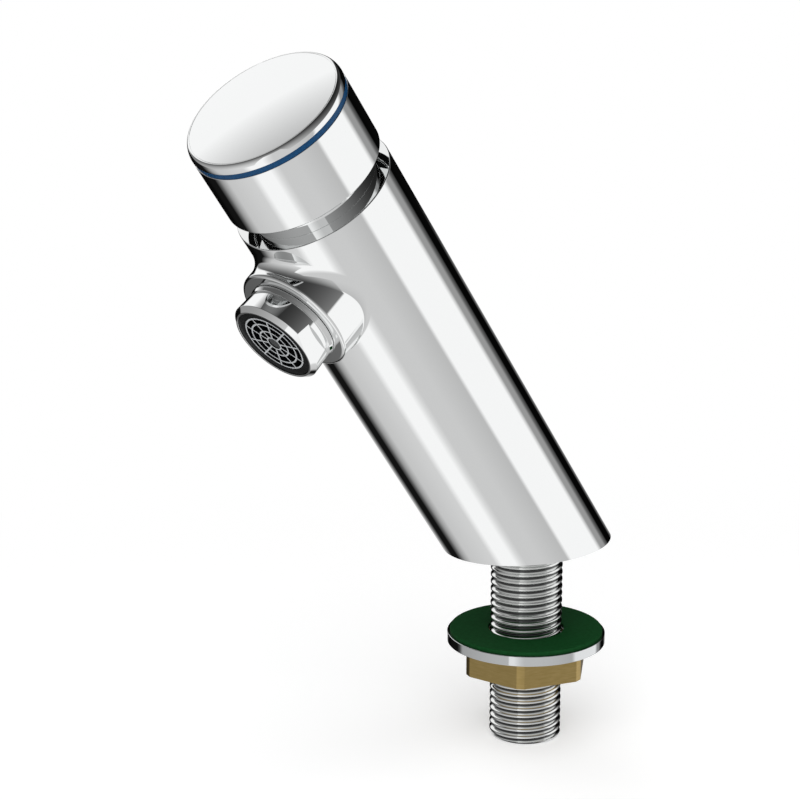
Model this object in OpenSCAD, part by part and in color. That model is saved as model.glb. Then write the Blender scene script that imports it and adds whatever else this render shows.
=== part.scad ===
// Push timed tap: a leaning self-closing pillar tap for a wash basin.
// The origin is the centre of the level base, on the axis of the shank. +Z is up and the spout faces -Y.
// Pieces on the leaning axis are drawn upright and leaned as a whole, so their heights run along that axis.

/* [Body] */
// Lean of the body from upright, in degrees
lean = 37; // [32:0.5:40]
// Diameter of the body
body_d = 43.6; // [43:0.2:50]
// Length of the body's axis, from the base to the rim
body_len = 139.3; // [125:0.1:170]
// Rounding of the edge round the top face
rim_edge = 0.3; // [0.1:0.1:0.6]
// Bore of the chamber that holds the cartridge
chamber_d = 29; // [28:0.1:30]
// Bore of the inlet chamber below the valve seat
inlet_d = 22; // [19:0.5:24]
// Depth of the inlet chamber
inlet_depth = 18; // [14:0.5:24]
// Bore of the waterway from the shank
waterway_d = 12; // [8:0.5:13]
// Diameter of the elbow chamber over the shank
elbow_d = 16; // [14:0.5:17]
// Height of the elbow chamber above the shank's seal
elbow_h = 7; // [5:0.5:8]

/* [Spout] */
// Distance from the rim down to the axis of the spout
spout_drop = 21.8; // [21:0.1:26]
// Diameter of the spout boss
boss_d = 32; // [30:0.2:34]
// Distance from the body's axis to the face of the boss
boss_reach = 25.6; // [25:0.1:32]
// Rounding of the boss's outer edge
boss_edge = 0.9; // [0.3:0.1:1.4]
// Width of the blend between boss and body, at the top
blend_top = 3.2; // [1.2:0.1:3.4]
// Width of the blend at the underside
blend_low = 0.5; // [0.4:0.1:1.2]
// Bore of the waterway into the spout
spout_bore = 16; // [10:0.5:18]

/* [Aerator] */
// Diameter of the aerator's thread and of its socket
socket_d = 24; // [23:0.1:24.5]
// Depth of the socket, from the face of the boss
socket_depth = 8.2; // [8:0.1:8.6]
// Thickness of the flat seal at the foot of the socket
aerator_seal_t = 1.5; // [1:0.1:2]
// Diameter of the collar's flange on the boss
flange_d = 25.6; // [25:0.1:27]
// Thickness of that flange at its edge
flange_t = 0.5; // [0.3:0.1:0.8]
// Diameter of the collar's waist
waist_d = 24.9; // [24.5:0.1:26]
// Greatest diameter of the collar, at its lower edge
collar_d = 25.7; // [25.2:0.1:27]
// Length of the collar outside the boss
collar_len = 8.6; // [7.6:0.1:12]
// Length of the chamfer at the collar's mouth
mouth_bevel = 1.2; // [0.6:0.1:1.6]
// Diameter of the collar's mouth
mouth_d = 23.2; // [22.6:0.1:24]
// Width of the flat land round the mouth
mouth_land = 0.5; // [0.2:0.1:0.8]
// Depth of the counterbore in the mouth, which takes the insert's flange
mouth_depth = 1.6; // [1:0.1:2]
// Distance across the two wrench flats
flats_w = 23.4; // [23:0.1:24.4]
// Length of the wrench flats
flats_len = 5.3; // [4:0.1:6.2]
// Bore of the housing, which holds the insert
insert_d = 19.4; // [18.8:0.1:20.6]
// Depth of the grille inside the collar's mouth
web_recess = 0.45; // [0.2:0.05:0.8]
// Thickness of the grille
web_t = 1.6; // [1:0.1:2.4]
// Width of the grille's lines
web_line = 0.45; // [0.3:0.05:0.8]
// Radius of the grille's inner ring
web_inner_r = 4.38; // [3.6:0.02:5.2]
// Radius of the grille's middle ring
web_middle_r = 6.9; // [6:0.1:7.6]
// Radius of the grille's outer ring
web_outer_r = 8.84; // [8.3:0.02:9.2]
// Radius of the grille's hub
web_hub = 2.3; // [1.6:0.1:2.8]
// Depth of the hub's dish
web_dish = 0.3; // [0.1:0.1:0.8]
// Number of spokes in the grille
web_spokes = 10; // [6:1:16]
// Depth of the insert's flange inside the collar's mouth
insert_recess = 0.4; // [0.2:0.05:0.6]
// Thickness of the insert's plate behind the grille
insert_t = 2.5; // [1.6:0.1:3]
// Diameter of the jet holes in that plate
jet_d = 1.6; // [1:0.1:2]
// Number of jet holes
jets = 12; // [8:1:16]
// Thickness of the flow regulator's disc
regulator_t = 3; // [2:0.1:3.6]
// Height of the sieve behind the regulator
sieve_h = 3; // [2:0.1:3.6]
// Thickness of the sieve's wall and rim
sieve_t = 0.8; // [0.5:0.1:1]

/* [Cap] */
// Diameter of the push cap
cap_d = 43.4; // [42.4:0.1:50]
// Gap between the rim and the cap at rest
cap_gap = 5.4; // [5.3:0.1:8]
// Travel of the cap
stroke = 5; // [3:0.1:5.2]
// Length of the cap's skirt, up to the marker ring
skirt_len = 18.6; // [17:0.1:24]
// Chamfer at the skirt's lower edge
skirt_edge = 0.5; // [0.2:0.1:0.8]
// Thickness of the cap's floor, which takes the push
floor_t = 2.5; // [1.8:0.1:3.4]
// Depth of the floor below the marker ring
floor_drop = 2.95; // [2.4:0.05:3.6]
// Height of the marker ring
ring_h = 1.55; // [0.7:0.05:2]
// Depth of the marker ring's face behind the cap's side
ring_inset = 0.2; // [0.05:0.05:0.5]
// Wall of the cap round the cover's spigot
recess_wall = 2.75; // [2:0.05:3.2]
// Wall of the cover's spigot
spigot_wall = 2; // [1.4:0.1:2.6]
// Height of the cover's rounded shoulder
shoulder_h = 2.55; // [2:0.05:3.6]
// Width of the shoulder, seen from above
shoulder_w = 1.25; // [0.6:0.05:2]
// Rise of the dome inside the shoulder
dome_rise = 1; // [0.4:0.1:2]
// Thickness of the cover
cover_t = 2.2; // [1.4:0.1:2.4]

/* [Guide sleeve] */
// Diameter of the sleeve's neck, which shows between body and cap
neck_d = 35.2; // [34.8:0.1:36.4]
// Diameter of the land above the neck, which guides the cap
guide_d = 38.8; // [38:0.1:39.2]
// Height of that land
guide_h = 6.6; // [5:0.1:7]
// Chamfer at the land's top edge
guide_edge = 0.6; // [0.2:0.1:1]
// Height of the sleeve above the body
sleeve_h = 12.7; // [11.6:0.1:13]
// Bore of the sleeve
sleeve_bore = 31.2; // [30.8:0.1:33]
// Diameter of the sleeve's thread in the body
sleeve_thread_d = 33.8; // [33.4:0.1:34.4]
// Length of the sleeve's thread in the body
sleeve_thread_len = 5.8; // [5.2:0.1:6.2]

/* [Cartridge] */
// Length of the cartridge from its seat to the top of its flange
cartridge_len = 49.5; // [48:0.1:54]
// Thickness of the cartridge's flange
cartridge_flange_t = 2; // [1.6:0.1:2.4]
// Diameter of the cartridge between its two lands
cartridge_waist_d = 24.8; // [24.4:0.1:25.6]
// Bore of the timing cylinder
cylinder_d = 20; // [19:0.1:20.4]
// Length of the lower land
lower_land = 6.5; // [6.2:0.1:7.5]
// Length of the upper land below the flange
upper_land = 5.3; // [5:0.1:5.6]
// Height of the outlet windows
window_h = 5; // [3:0.1:5.4]
// Distance from the lower land up to the outlet windows
window_low = 1.5; // [0.8:0.1:2.5]
// Distance from the outlet windows up to the wall above them
window_high = 2; // [1.2:0.1:2.6]
// Width of each outlet window
window_w = 7; // [4:0.1:9]
// Step from the timing cylinder's bore in to that of the windows
window_wall = 1.2; // [0.6:0.1:1.6]
// Number of outlet windows
windows = 4; // [3:1:5]
// Thickness of the wall under the timing cylinder
partition_t = 2.5; // [1.8:0.1:3]
// Section of the cartridge's two O-rings
o_ring_t = 2.1; // [1.8:0.1:2.4]
// Distance from the shoulder down to the upper O-ring's groove
groove_drop = 1.6; // [1.2:0.1:2]
// Outer diameter of the seat bush
seat_d = 18.6; // [18:0.1:19.6]
// Length of the seat bush inside the cartridge
seat_len = 5; // [3:0.1:5.6]
// Bore of the valve seat
seat_bore = 10; // [8:0.1:11]
// Height of the raised lip of the valve seat
seat_lip = 0.8; // [0.5:0.1:1.2]
// Width of the raised lip of the valve seat
seat_lip_w = 1; // [0.6:0.1:1.4]
// Thickness of the head's flange
head_flange_t = 2.5; // [2:0.1:4]
// Length of the head inside the cylinder
head_plug = 6.5; // [5:0.1:7.5]

/* [Spindle and piston] */
// Diameter of the spindle above the piston
spindle_d = 7; // [6.6:0.1:7.6]
// Diameter of the spindle below the piston
stem_d = 5; // [4.6:0.1:5.4]
// Diameter of the spindle in the cap's hub
spindle_top_d = 5.8; // [5.6:0.1:6.2]
// Length of the spindle above the cap's nut
spindle_proud = 0.4; // [0.2:0.1:1]
// Diameter of the cap's hub
hub_d = 13; // [11:0.1:16]
// Length of the cap's hub below its floor
hub_len = 7.5; // [5:0.1:9]
// Thickness of the piston
piston_t = 4; // [3.6:0.1:5]
// Distance from the head down to the piston, at rest
piston_drop = 3.5; // [2.5:0.1:4.5]
// Depth of the lip seal's groove
lip_groove = 1.75; // [1.4:0.05:2.2]
// Height of the lip seal
lip_h = 2; // [1.6:0.1:2.4]
// Wire of the return spring
wire_d = 1.2; // [0.8:0.1:1.4]
// Mean diameter of the return spring
spring_d = 14; // [12:0.1:16]
// Turns of the return spring
spring_turns = 6; // [5:0.5:7]
// Diameter of the valve washer
washer_rubber_d = 15; // [13.6:0.1:16]
// Thickness of the valve washer
washer_rubber_t = 2; // [1.5:0.1:3]
// Diameter of the valve disc that carries the washer
disc_d = 16; // [15:0.1:17]
// Thickness of the valve disc under the washer
disc_t = 1.8; // [1.4:0.1:2.6]
// Diameter of the valve screw's head
screw_head_d = 8; // [7:0.1:10]
// Height of the valve screw's head
screw_head_t = 2.5; // [1.6:0.1:3]
// Diameter of the valve screw
screw_d = 3; // [2.4:0.1:3.2]
// Length of the valve screw in the spindle
screw_len = 8; // [5:0.1:9]
// Diameter of the timing chamber's port in the spindle
port_d = 1.2; // [0.6:0.1:1.6]
// Diameter of the timing screw in the spindle
timing_d = 3; // [2.4:0.1:3.4]
// Diameter of the timing screw's head
timing_head_d = 4; // [3.8:0.1:4.4]
// Height of the timing screw's head
timing_head_t = 1.6; // [1.2:0.1:2]
// Width across the flats of the cap's nut
cap_nut_w = 9; // [8:0.1:11]
// Height of the cap's nut
cap_nut_t = 2.4; // [2:0.1:2.6]

/* [Shank] */
// Diameter of the shank over its G1/2 thread
shank_d = 20.955; // [16:0.001:26.5]
// Length of the shank below the base
shank_len = 59.5; // [50:0.5:80]
// Bore of the shank
shank_bore = 14; // [10:0.1:15]
// Chamfer at the end of the shank
shank_chamfer = 0.9; // [0.4:0.1:1.4]
// Depth of the shank in the body
socket_len = 8.5; // [7:0.1:9]
// Thickness of the seal on top of the shank
shank_seal_t = 1.5; // [1:0.1:1.8]
// Diameter of the strainer's rim in the shank's mouth
strainer_d = 16.4; // [16:0.1:17]
// Thickness of the strainer's rim
strainer_rim_t = 1.2; // [0.8:0.1:1.6]
// Height of the strainer
strainer_h = 9; // [6:0.5:14]
// Wall of the strainer's cup
strainer_wall = 0.8; // [0.6:0.1:1.2]
// Gap between the strainer's cup and the bore
strainer_play = 0.6; // [0.4:0.1:1]
// Width of the strainer's slots
strainer_slot_w = 1.2; // [0.8:0.1:1.6]
// Number of the strainer's slots
strainer_slots = 10; // [6:1:12]

/* [Base seal] */
// Mean diameter of the seal ring in the base
base_ring_d = 32; // [31:0.1:34]
// Section of the seal ring in the base
base_ring_t = 2.4; // [1.8:0.1:2.8]

/* [Fixing set] */
// Gap between the base and the gasket, as photographed
deck_gap = 26.5; // [10:0.5:32]
// Diameter of the gasket
gasket_d = 44.6; // [40:0.1:46]
// Thickness of the gasket
gasket_t = 1.1; // [0.8:0.1:3]
// Diameter of the steel washer
washer_d = 46.1; // [42:0.1:52]
// Thickness of the steel washer
washer_t = 2.9; // [1.5:0.1:4]
// Chamfer at the washer's upper edge
washer_bevel = 0.5; // [0.2:0.1:0.8]
// Radial clearance of washer and gasket round the shank
washer_play = 0.55; // [0.2:0.05:1]
// Width across the flats of the fixing nut
nut_w = 33.3; // [30:0.1:36]
// Diameter over the nut's trimmed corners
nut_corner_d = 37.2; // [36.6:0.1:38.2]
// Height of the fixing nut
nut_h = 8.7; // [6:0.1:12]
// Turn of the nut about the shank, in degrees
nut_turn = 7.4; // [0:0.1:60]

/* [Hidden] */
$fn = 96;

// Radial clearance of a part that slides or turns in another
run_fit = 0.06;
// Radial clearance of a fixed part in its seat
seat_fit = 0.05;
// Clearance that keeps a seal or a free part off its neighbour
free_fit = 0.1;
// Overlap that lets a cut pass through a face
cut = 1;

// Radii of the body and what it carries
body_r = body_d / 2;
chamber_r = chamber_d / 2;
inlet_r = inlet_d / 2;
boss_r = boss_d / 2;
neck_r = neck_d / 2;
guide_r = guide_d / 2;
cap_r = cap_d / 2;
shank_r = shank_d / 2;
socket_r = socket_d / 2;

// Heights along the leaning axis, from the base to the cap
s_rim = body_len;
s_flange_top = s_rim - sleeve_thread_len;
s_shoulder = s_flange_top - cartridge_flange_t;
s_seat = s_flange_top - cartridge_len;
s_inlet = s_seat - inlet_depth;
s_spout = s_rim - spout_drop;
s_skirt = s_rim + cap_gap;
s_ring = s_skirt + skirt_len;
s_cover = s_ring + ring_h;
s_crease = s_cover + shoulder_h;
s_floor_top = s_ring - floor_drop;
s_floor = s_floor_top - floor_t;
s_hub = s_floor - hub_len;
s_lower_land = s_seat + lower_land;
s_upper_land = s_shoulder - upper_land;
s_partition = s_lower_land + window_low + window_h + window_high;
s_cylinder = s_partition + partition_t;
s_head = s_flange_top - head_plug;
s_gland = s_head + 2;
s_piston_top = s_head - piston_drop;
s_piston = s_piston_top - piston_t;
s_valve = s_seat - seat_lip;
s_disc_top = s_valve - washer_rubber_t;
s_disc = s_disc_top - disc_t;
s_screw = s_disc - screw_head_t;
s_spindle_top = s_floor_top + cap_nut_t + spindle_proud;
groove_h = o_ring_t + 3 * free_fit;
lower_groove = s_seat + (lower_land - groove_h) / 2;
upper_groove = s_shoulder - groove_drop - groove_h;

// Depths along the spout's axis, from the body's axis outwards
t_floor = boss_reach - socket_depth;
t_seal = t_floor + aerator_seal_t;
t_sieve = t_seal + sieve_h;
t_regulator = t_sieve + regulator_t;
t_mouth = boss_reach + collar_len;
t_web = t_mouth - web_recess;
t_web_back = t_web - web_t;
t_insert = t_mouth - insert_recess;

// Radii of the cap and its pieces
skirt_bore_r = guide_r + run_fit;
recess_r = cap_r - recess_wall;
spigot_r = recess_r - seat_fit;
hub_bore_r = spindle_top_d / 2 + seat_fit;
crease_r = cap_r - shoulder_w;

// Radii at the collar's mouth
mouth_r = mouth_d / 2 - mouth_land;
web_seat_r = web_outer_r + web_line / 2 + free_fit;

// Pieces on the leaning axis stand upright in their own drawing and are leaned here
module leaned() {
    rotate([lean, 0, 0])
        children();
}

// Pieces on the spout's axis: their drawing's +Z points out of the spout
module spouted() {
    leaned()
        translate([0, 0, s_spout])
            rotate([90, 0, 0])
                children();
}

// A ring of outer radius r_out and inner radius r_in between two heights
module ring(r_out, r_in, z0, z1) {
    difference() {
        translate([0, 0, z0])
            cylinder(r = r_out, h = z1 - z0);
        translate([0, 0, z0 - cut])
            cylinder(r = r_in, h = z1 - z0 + 2 * cut);
    }
}

// Points of a quarter arc round [cx, cy], with its own radius each way, from angle a0 to a0 + 90
function quarter(cx, cy, rx, ry, a0, steps = 8) =
    [for (i = [0 : steps]) [cx + rx * cos(a0 + 90 * i / steps), cy + ry * sin(a0 + 90 * i / steps)]];

// Share of the blend's full width at an angle round the boss: none below, all at the top
function blend_share(a) = pow((1 + sin(a)) / 2, 1.5);
function blend_w(a) = blend_low + (blend_top - blend_low) * blend_share(a);
// Depth of the body's surface at distance r from the spout's axis, at angle a
function body_depth(r, a) = sqrt(body_r * body_r - pow(r * cos(a), 2));
// Slope of that surface, outwards from the spout's axis
function body_slope(r, a) = -r * pow(cos(a), 2) / body_depth(r, a);
// Height of the blend up the boss, never past the boss's rounded edge
function blend_up(a) = min(blend_w(a), 0.85 * (boss_reach - boss_edge - body_depth(boss_r, a)));
// A conic between p0 and p2 with corner p1: its weight makes it close to a round arc
function conic(p0, p1, p2, t, w = 0.72) =
    (p0 * pow(1 - t, 2) + p1 * 2 * w * t * (1 - t) + p2 * t * t)
    / (pow(1 - t, 2) + 2 * w * t * (1 - t) + t * t);

// The blend between boss and body stands this much proud of both, so that its edges meet them squarely
blend_proud = 0.04;
blend_steps = 72;
blend_rows = 7;

// One section of the blend at angle a: the curved face, then three points inside the solid
function blend_section(a) =
    let (r2 = boss_r + blend_w(a))
    let (t2 = body_depth(r2, a))
    let (p0 = [boss_r, body_depth(boss_r, a) + blend_up(a)])
    let (p1 = [boss_r, t2 + body_slope(r2, a) * (boss_r - r2)])
    let (p2 = [r2, t2])
    let (off = [blend_proud, blend_proud])
    concat(
        [for (j = [0 : blend_rows]) conic(p0, p1, p2, j / blend_rows) + off],
        [[r2 + blend_proud, t2 - 2.5], [boss_r - 2, t2 - 2.5], [boss_r - 2, p0[1] + blend_proud]]);

// A closed ring of sections: n sections of m points each
function ring_faces(n, m) = [for (i = [0 : n - 1]) for (j = [0 : m - 1])
    let (a = i * m + j)
    let (b = i * m + (j + 1) % m)
    let (c = ((i + 1) % n) * m + (j + 1) % m)
    let (d = ((i + 1) % n) * m + j)
    for (f = [[a, b, c], [a, c, d]]) f];

module spout_blend() {
    m = blend_rows + 4;
    points = [for (i = [0 : blend_steps - 1])
        let (a = 360 * i / blend_steps)
        for (p = blend_section(a)) [p[0] * cos(a), p[0] * sin(a), p[1]]];
    polyhedron(points, ring_faces(blend_steps, m), convexity = 6);
}

// The boss: a cylinder with a rounded outer edge, from the body's axis out to its face
module spout_boss() {
    rotate_extrude()
        polygon(concat([[0, 0], [boss_r, 0]],
            quarter(boss_r - boss_edge, boss_reach - boss_edge, boss_edge, boss_edge, 0),
            [[0, boss_reach]]));
}

// The body's outside: a leaning cylinder, its boss and the blend, cut level at the base
module body_outside() {
    low = -body_r * tan(lean) - 2;
    difference() {
        union() {
            leaned()
                rotate_extrude()
                    polygon(concat([[0, low], [body_r, low]],
                        quarter(body_r - rim_edge, s_rim - rim_edge, rim_edge, rim_edge, 0, 4),
                        [[0, s_rim]]));
            spouted() {
                spout_boss();
                spout_blend();
            }
        }
        translate([-body_d, -2 * body_d, -2 * body_d])
            cube([2 * body_d, 4 * body_d, 2 * body_d]);
    }
}

// The elbow chamber over the shank, and where the leaning waterway starts
elbow_r = elbow_d / 2;
elbow_top = socket_len + shank_seal_t + elbow_h;
s_elbow = (socket_len + shank_seal_t + elbow_h / 4) / cos(lean);

module tap_body() {
    color("gainsboro")
        difference() {
            body_outside();
            leaned() {
                rotate_extrude()
                    polygon([[0, s_inlet], [inlet_r, s_inlet], [inlet_r, s_seat], [chamber_r, s_seat],
                        [chamber_r, s_shoulder], [sleeve_thread_d / 2 + seat_fit, s_shoulder],
                        [sleeve_thread_d / 2 + seat_fit, s_rim + cut], [0, s_rim + cut]]);
                translate([0, 0, s_elbow])
                    cylinder(d = waterway_d, h = s_inlet - s_elbow + cut);
            }
            spouted() {
                translate([0, 0, t_floor])
                    cylinder(r = socket_r + seat_fit, h = socket_depth + cut);
                translate([0, 0, chamber_r / 2])
                    cylinder(d = spout_bore, h = t_floor);
            }
            translate([0, 0, -cut])
                cylinder(r = shank_r + seat_fit, h = socket_len + shank_seal_t + cut);
            cylinder(r = elbow_r, h = elbow_top);
            rotate_extrude()
                translate([base_ring_d / 2, 0])
                    square([base_ring_t + 2 * free_fit, 2 * base_ring_t], center = true);
        }
}

// The sleeve screws into the body, holds the cartridge down and guides the cap on its land
module guide_sleeve() {
    top = s_rim + sleeve_h;
    color("silver")
        leaned()
            rotate_extrude()
                polygon([[sleeve_bore / 2, s_flange_top], [sleeve_thread_d / 2, s_flange_top],
                    [sleeve_thread_d / 2, s_rim], [neck_r, s_rim], [neck_r, top - guide_h],
                    [guide_r, top - guide_h], [guide_r, top - guide_edge], [guide_r - guide_edge, top],
                    [sleeve_bore / 2, top]]);
}

// The cap's cylinder: a skirt over the sleeve, a floor, a hub and a recess for the cover
module cap_skirt() {
    color("gainsboro")
        leaned()
            rotate_extrude()
                polygon([[hub_bore_r, s_hub], [hub_d / 2, s_hub], [hub_d / 2, s_floor],
                    [skirt_bore_r, s_floor], [skirt_bore_r, s_skirt], [cap_r - skirt_edge, s_skirt],
                    [cap_r, s_skirt + skirt_edge], [cap_r, s_ring], [recess_r, s_ring],
                    [recess_r, s_floor_top], [hub_bore_r, s_floor_top]]);
}

module marker_ring() {
    color("steelblue")
        leaned()
            ring(cap_r - ring_inset, recess_r + seat_fit, s_ring, s_cover);
}

// Height of the dome above the crease at distance r from its centre
function dome(r) = dome_rise * (1 - pow(r / crease_r, 2));

module cover_profile() {
    pocket_r = spigot_r - spigot_wall;
    polygon(concat(
        [[spigot_r, s_floor_top], [spigot_r, s_cover], [cap_r, s_cover]],
        quarter(crease_r, s_cover, shoulder_w, shoulder_h, 0, 12),
        [for (i = [11 : -1 : 0]) [crease_r * i / 12, s_crease + dome(crease_r * i / 12)]],
        [[0, s_crease + dome_rise - cover_t], [pocket_r - 2, s_crease + dome_rise - cover_t],
            [pocket_r, s_crease + dome_rise - cover_t - 2], [pocket_r, s_floor_top]]));
}

module cap_cover() {
    color("whitesmoke")
        leaned()
            rotate_extrude()
                cover_profile();
}

// A hexagon of width w across its flats, from height z0 to z1
module hexagon(w, z0, z1) {
    translate([0, 0, z0])
        cylinder(d = w / cos(30), h = z1 - z0, $fn = 6);
}

module cap_nut() {
    color("goldenrod")
        leaned()
            difference() {
                hexagon(cap_nut_w, s_floor_top, s_floor_top + cap_nut_t);
                translate([0, 0, s_floor_top - cut])
                    cylinder(d = spindle_top_d + 2 * seat_fit, h = cap_nut_t + 2 * cut);
            }
}

// Bottom of an O-ring's groove in a land of the cartridge
groove_r = chamber_r - seat_fit - o_ring_t;
land_r = chamber_r - seat_fit;

module groove(z) {
    ring(chamber_r + cut, groove_r, z, z + groove_h);
}

module cartridge_housing() {
    waist_r = cartridge_waist_d / 2;
    lower_r = cylinder_d / 2 - window_wall;
    color("burlywood")
        leaned()
            difference() {
                rotate_extrude()
                    polygon([[seat_d / 2 + seat_fit, s_seat], [land_r, s_seat], [land_r, s_lower_land],
                        [waist_r, s_lower_land], [waist_r, s_upper_land], [land_r, s_upper_land],
                        [land_r, s_shoulder], [sleeve_thread_d / 2 - free_fit, s_shoulder],
                        [sleeve_thread_d / 2 - free_fit, s_flange_top], [cylinder_d / 2, s_flange_top],
                        [cylinder_d / 2, s_cylinder], [stem_d / 2 + run_fit, s_cylinder],
                        [stem_d / 2 + run_fit, s_partition], [lower_r, s_partition],
                        [lower_r, s_seat + seat_len], [seat_d / 2 + seat_fit, s_seat + seat_len]]);
                groove(lower_groove);
                groove(upper_groove);
                for (i = [0 : windows - 1])
                    rotate([0, 0, 45 + 360 * i / windows])
                        translate([lower_r - cut, -window_w / 2, s_lower_land + window_low])
                            cube([waist_r, window_w, window_h]);
            }
}

module cartridge_head() {
    gland_r = spindle_d / 2 + o_ring_t;
    color("burlywood")
        leaned()
            difference() {
                rotate_extrude()
                    polygon([[spindle_d / 2 + run_fit, s_head], [cylinder_d / 2 - seat_fit, s_head],
                        [cylinder_d / 2 - seat_fit, s_flange_top],
                        [sleeve_bore / 2 - 2 * free_fit, s_flange_top],
                        [sleeve_bore / 2 - 2 * free_fit, s_flange_top + head_flange_t],
                        [spindle_d / 2 + run_fit, s_flange_top + head_flange_t]]);
                ring(gland_r, spindle_d / 4, s_gland, s_gland + groove_h);
            }
}

// An O-ring of section t, its middle on radius r and at height z
module o_ring(r, z, t) {
    rotate_extrude()
        translate([r, z])
            circle(d = t, $fn = 32);
}

module upper_o_ring() {
    color("dimgray")
        leaned()
            o_ring(groove_r + o_ring_t / 2, upper_groove + groove_h / 2, o_ring_t - 0.04);
}

module lower_o_ring() {
    color("dimgray")
        leaned()
            o_ring(groove_r + o_ring_t / 2, lower_groove + groove_h / 2, o_ring_t - 0.04);
}

module gland_o_ring() {
    color("dimgray")
        leaned()
            o_ring(spindle_d / 2 + o_ring_t / 2, s_gland + groove_h / 2, o_ring_t - 0.08);
}

// The seat bush: its lip points down to the valve washer
module valve_seat() {
    color("goldenrod")
        leaned()
            rotate_extrude()
                polygon([[seat_bore / 2, s_valve], [seat_bore / 2 + seat_lip_w, s_valve],
                    [seat_bore / 2 + seat_lip_w, s_seat], [seat_d / 2, s_seat],
                    [seat_d / 2, s_seat + seat_len], [seat_bore / 2, s_seat + seat_len]]);
}

module spindle() {
    color("goldenrod")
        leaned()
            difference() {
                rotate_extrude()
                    polygon([[0, s_disc], [stem_d / 2, s_disc], [stem_d / 2, s_piston_top],
                        [spindle_d / 2, s_piston_top], [spindle_d / 2, s_hub],
                        [spindle_top_d / 2, s_hub], [spindle_top_d / 2, s_spindle_top],
                        [0, s_spindle_top]]);
                translate([0, 0, s_disc - cut])
                    cylinder(d = screw_d + 2 * seat_fit, h = screw_len + cut + 1);
                translate([0, 0, s_piston_top + 1])
                    cylinder(d = timing_d + 2 * run_fit, h = s_spindle_top - s_piston_top);
                translate([0, 0, s_spindle_top - timing_head_t])
                    cylinder(d = timing_head_d + 2 * run_fit, h = timing_head_t + cut);
                translate([0, 0, s_piston_top + 2])
                    rotate([90, 0, 0])
                        cylinder(d = port_d, h = spindle_d);
            }
}

// The piston under the spindle's step, with the lip seal in its groove
piston_r = cylinder_d / 2 - free_fit;

module piston() {
    seal_z = s_piston + (piston_t - lip_h) / 2;
    color("ivory")
        leaned()
            rotate_extrude()
                polygon([[stem_d / 2 + seat_fit, s_piston], [piston_r, s_piston], [piston_r, seal_z],
                    [piston_r - lip_groove, seal_z], [piston_r - lip_groove, seal_z + lip_h],
                    [piston_r, seal_z + lip_h], [piston_r, s_piston_top],
                    [stem_d / 2 + seat_fit, s_piston_top]]);
}

// A lip seal: a heel in the groove and a lip that leans out to the cylinder
module piston_lip_seal() {
    heel_r = piston_r - lip_groove + seat_fit;
    lip_r = cylinder_d / 2 - run_fit;
    z0 = s_piston + (piston_t - lip_h) / 2;
    color("dimgray")
        leaned()
            rotate_extrude()
                polygon([[heel_r, z0], [lip_r - 0.5, z0], [lip_r, z0 + lip_h], [lip_r - 0.55, z0 + lip_h],
                    [lip_r - 0.9, z0 + lip_h * 0.45], [heel_r + 0.3, z0 + lip_h * 0.45],
                    [heel_r + 0.3, z0 + lip_h], [heel_r, z0 + lip_h]]);
}

// The return spring: one unbroken tube of wire wound between the partition and the piston
spring_rings = 8;
spring_sides = 6;
spring_low = s_cylinder + wire_d / 2 + free_fit;
spring_high = s_piston - wire_d / 2 - free_fit;
spring_count = spring_rings * spring_turns;
function spring_middle(i) =
    let (a = 360 * i / spring_rings)
    [spring_d / 2 * cos(a), spring_d / 2 * sin(a), spring_low + (spring_high - spring_low) * i / spring_count];
function spring_point(i, j) =
    let (a = 360 * i / spring_rings)
    let (b = 360 * j / spring_sides)
    let (r = spring_d / 2 + wire_d / 2 * cos(b))
    [r * cos(a), r * sin(a), spring_middle(i)[2] + wire_d / 2 * sin(b)];
spring_half = spring_rings / 2;
spring_gap = min([for (i = [0 : spring_count - spring_half]) for (j = [i + spring_half : spring_count])
    norm(spring_middle(i) - spring_middle(j))]) - wire_d;
echo(least_gap_of_return_spring_mm = spring_gap);

module return_spring() {
    points = [for (i = [0 : spring_count]) for (j = [0 : spring_sides - 1]) spring_point(i, j)];
    sides = [for (i = [0 : spring_count - 1]) for (j = [0 : spring_sides - 1])
        let (a = i * spring_sides + j)
        let (b = i * spring_sides + (j + 1) % spring_sides)
        for (f = [[a, a + spring_sides, b + spring_sides], [a, b + spring_sides, b]]) f];
    first = [for (j = [1 : spring_sides - 2]) [0, j, j + 1]];
    last = [for (j = [1 : spring_sides - 2])
        [spring_count * spring_sides, spring_count * spring_sides + j + 1, spring_count * spring_sides + j]];
    color("slategray")
        leaned()
            polyhedron(points, concat(sides, first, last), convexity = 10);
}

module valve_disc() {
    rim = (disc_d - washer_rubber_d) / 2 - free_fit;
    color("goldenrod")
        leaned() {
            ring(disc_d / 2, stem_d / 2 + seat_fit, s_disc, s_disc_top);
            ring(disc_d / 2, disc_d / 2 - rim, s_disc_top, s_disc_top + washer_rubber_t * 0.6);
        }
}

module valve_washer() {
    color("dimgray")
        leaned()
            ring(washer_rubber_d / 2, stem_d / 2 + seat_fit, s_disc_top, s_valve);
}

module valve_screw() {
    color("goldenrod")
        leaned()
            difference() {
                union() {
                    translate([0, 0, s_screw])
                        cylinder(d = screw_head_d, h = screw_head_t);
                    translate([0, 0, s_disc - 0.01])
                        cylinder(d = screw_d, h = screw_len);
                }
                translate([-screw_head_d, -0.5, s_screw - cut])
                    cube([2 * screw_head_d, 1, cut + 1]);
            }
}

// The timing screw throttles the cross hole in the spindle with its tip
module timing_screw() {
    tip = s_piston_top + 2.8;
    color("silver")
        leaned()
            difference() {
                union() {
                    translate([0, 0, tip])
                        cylinder(d = timing_d, h = s_spindle_top - tip);
                    translate([0, 0, s_spindle_top - timing_head_t])
                        cylinder(d = timing_head_d, h = timing_head_t);
                }
                hexagon(2, s_spindle_top - 1, s_spindle_top + cut);
            }
}

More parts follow.
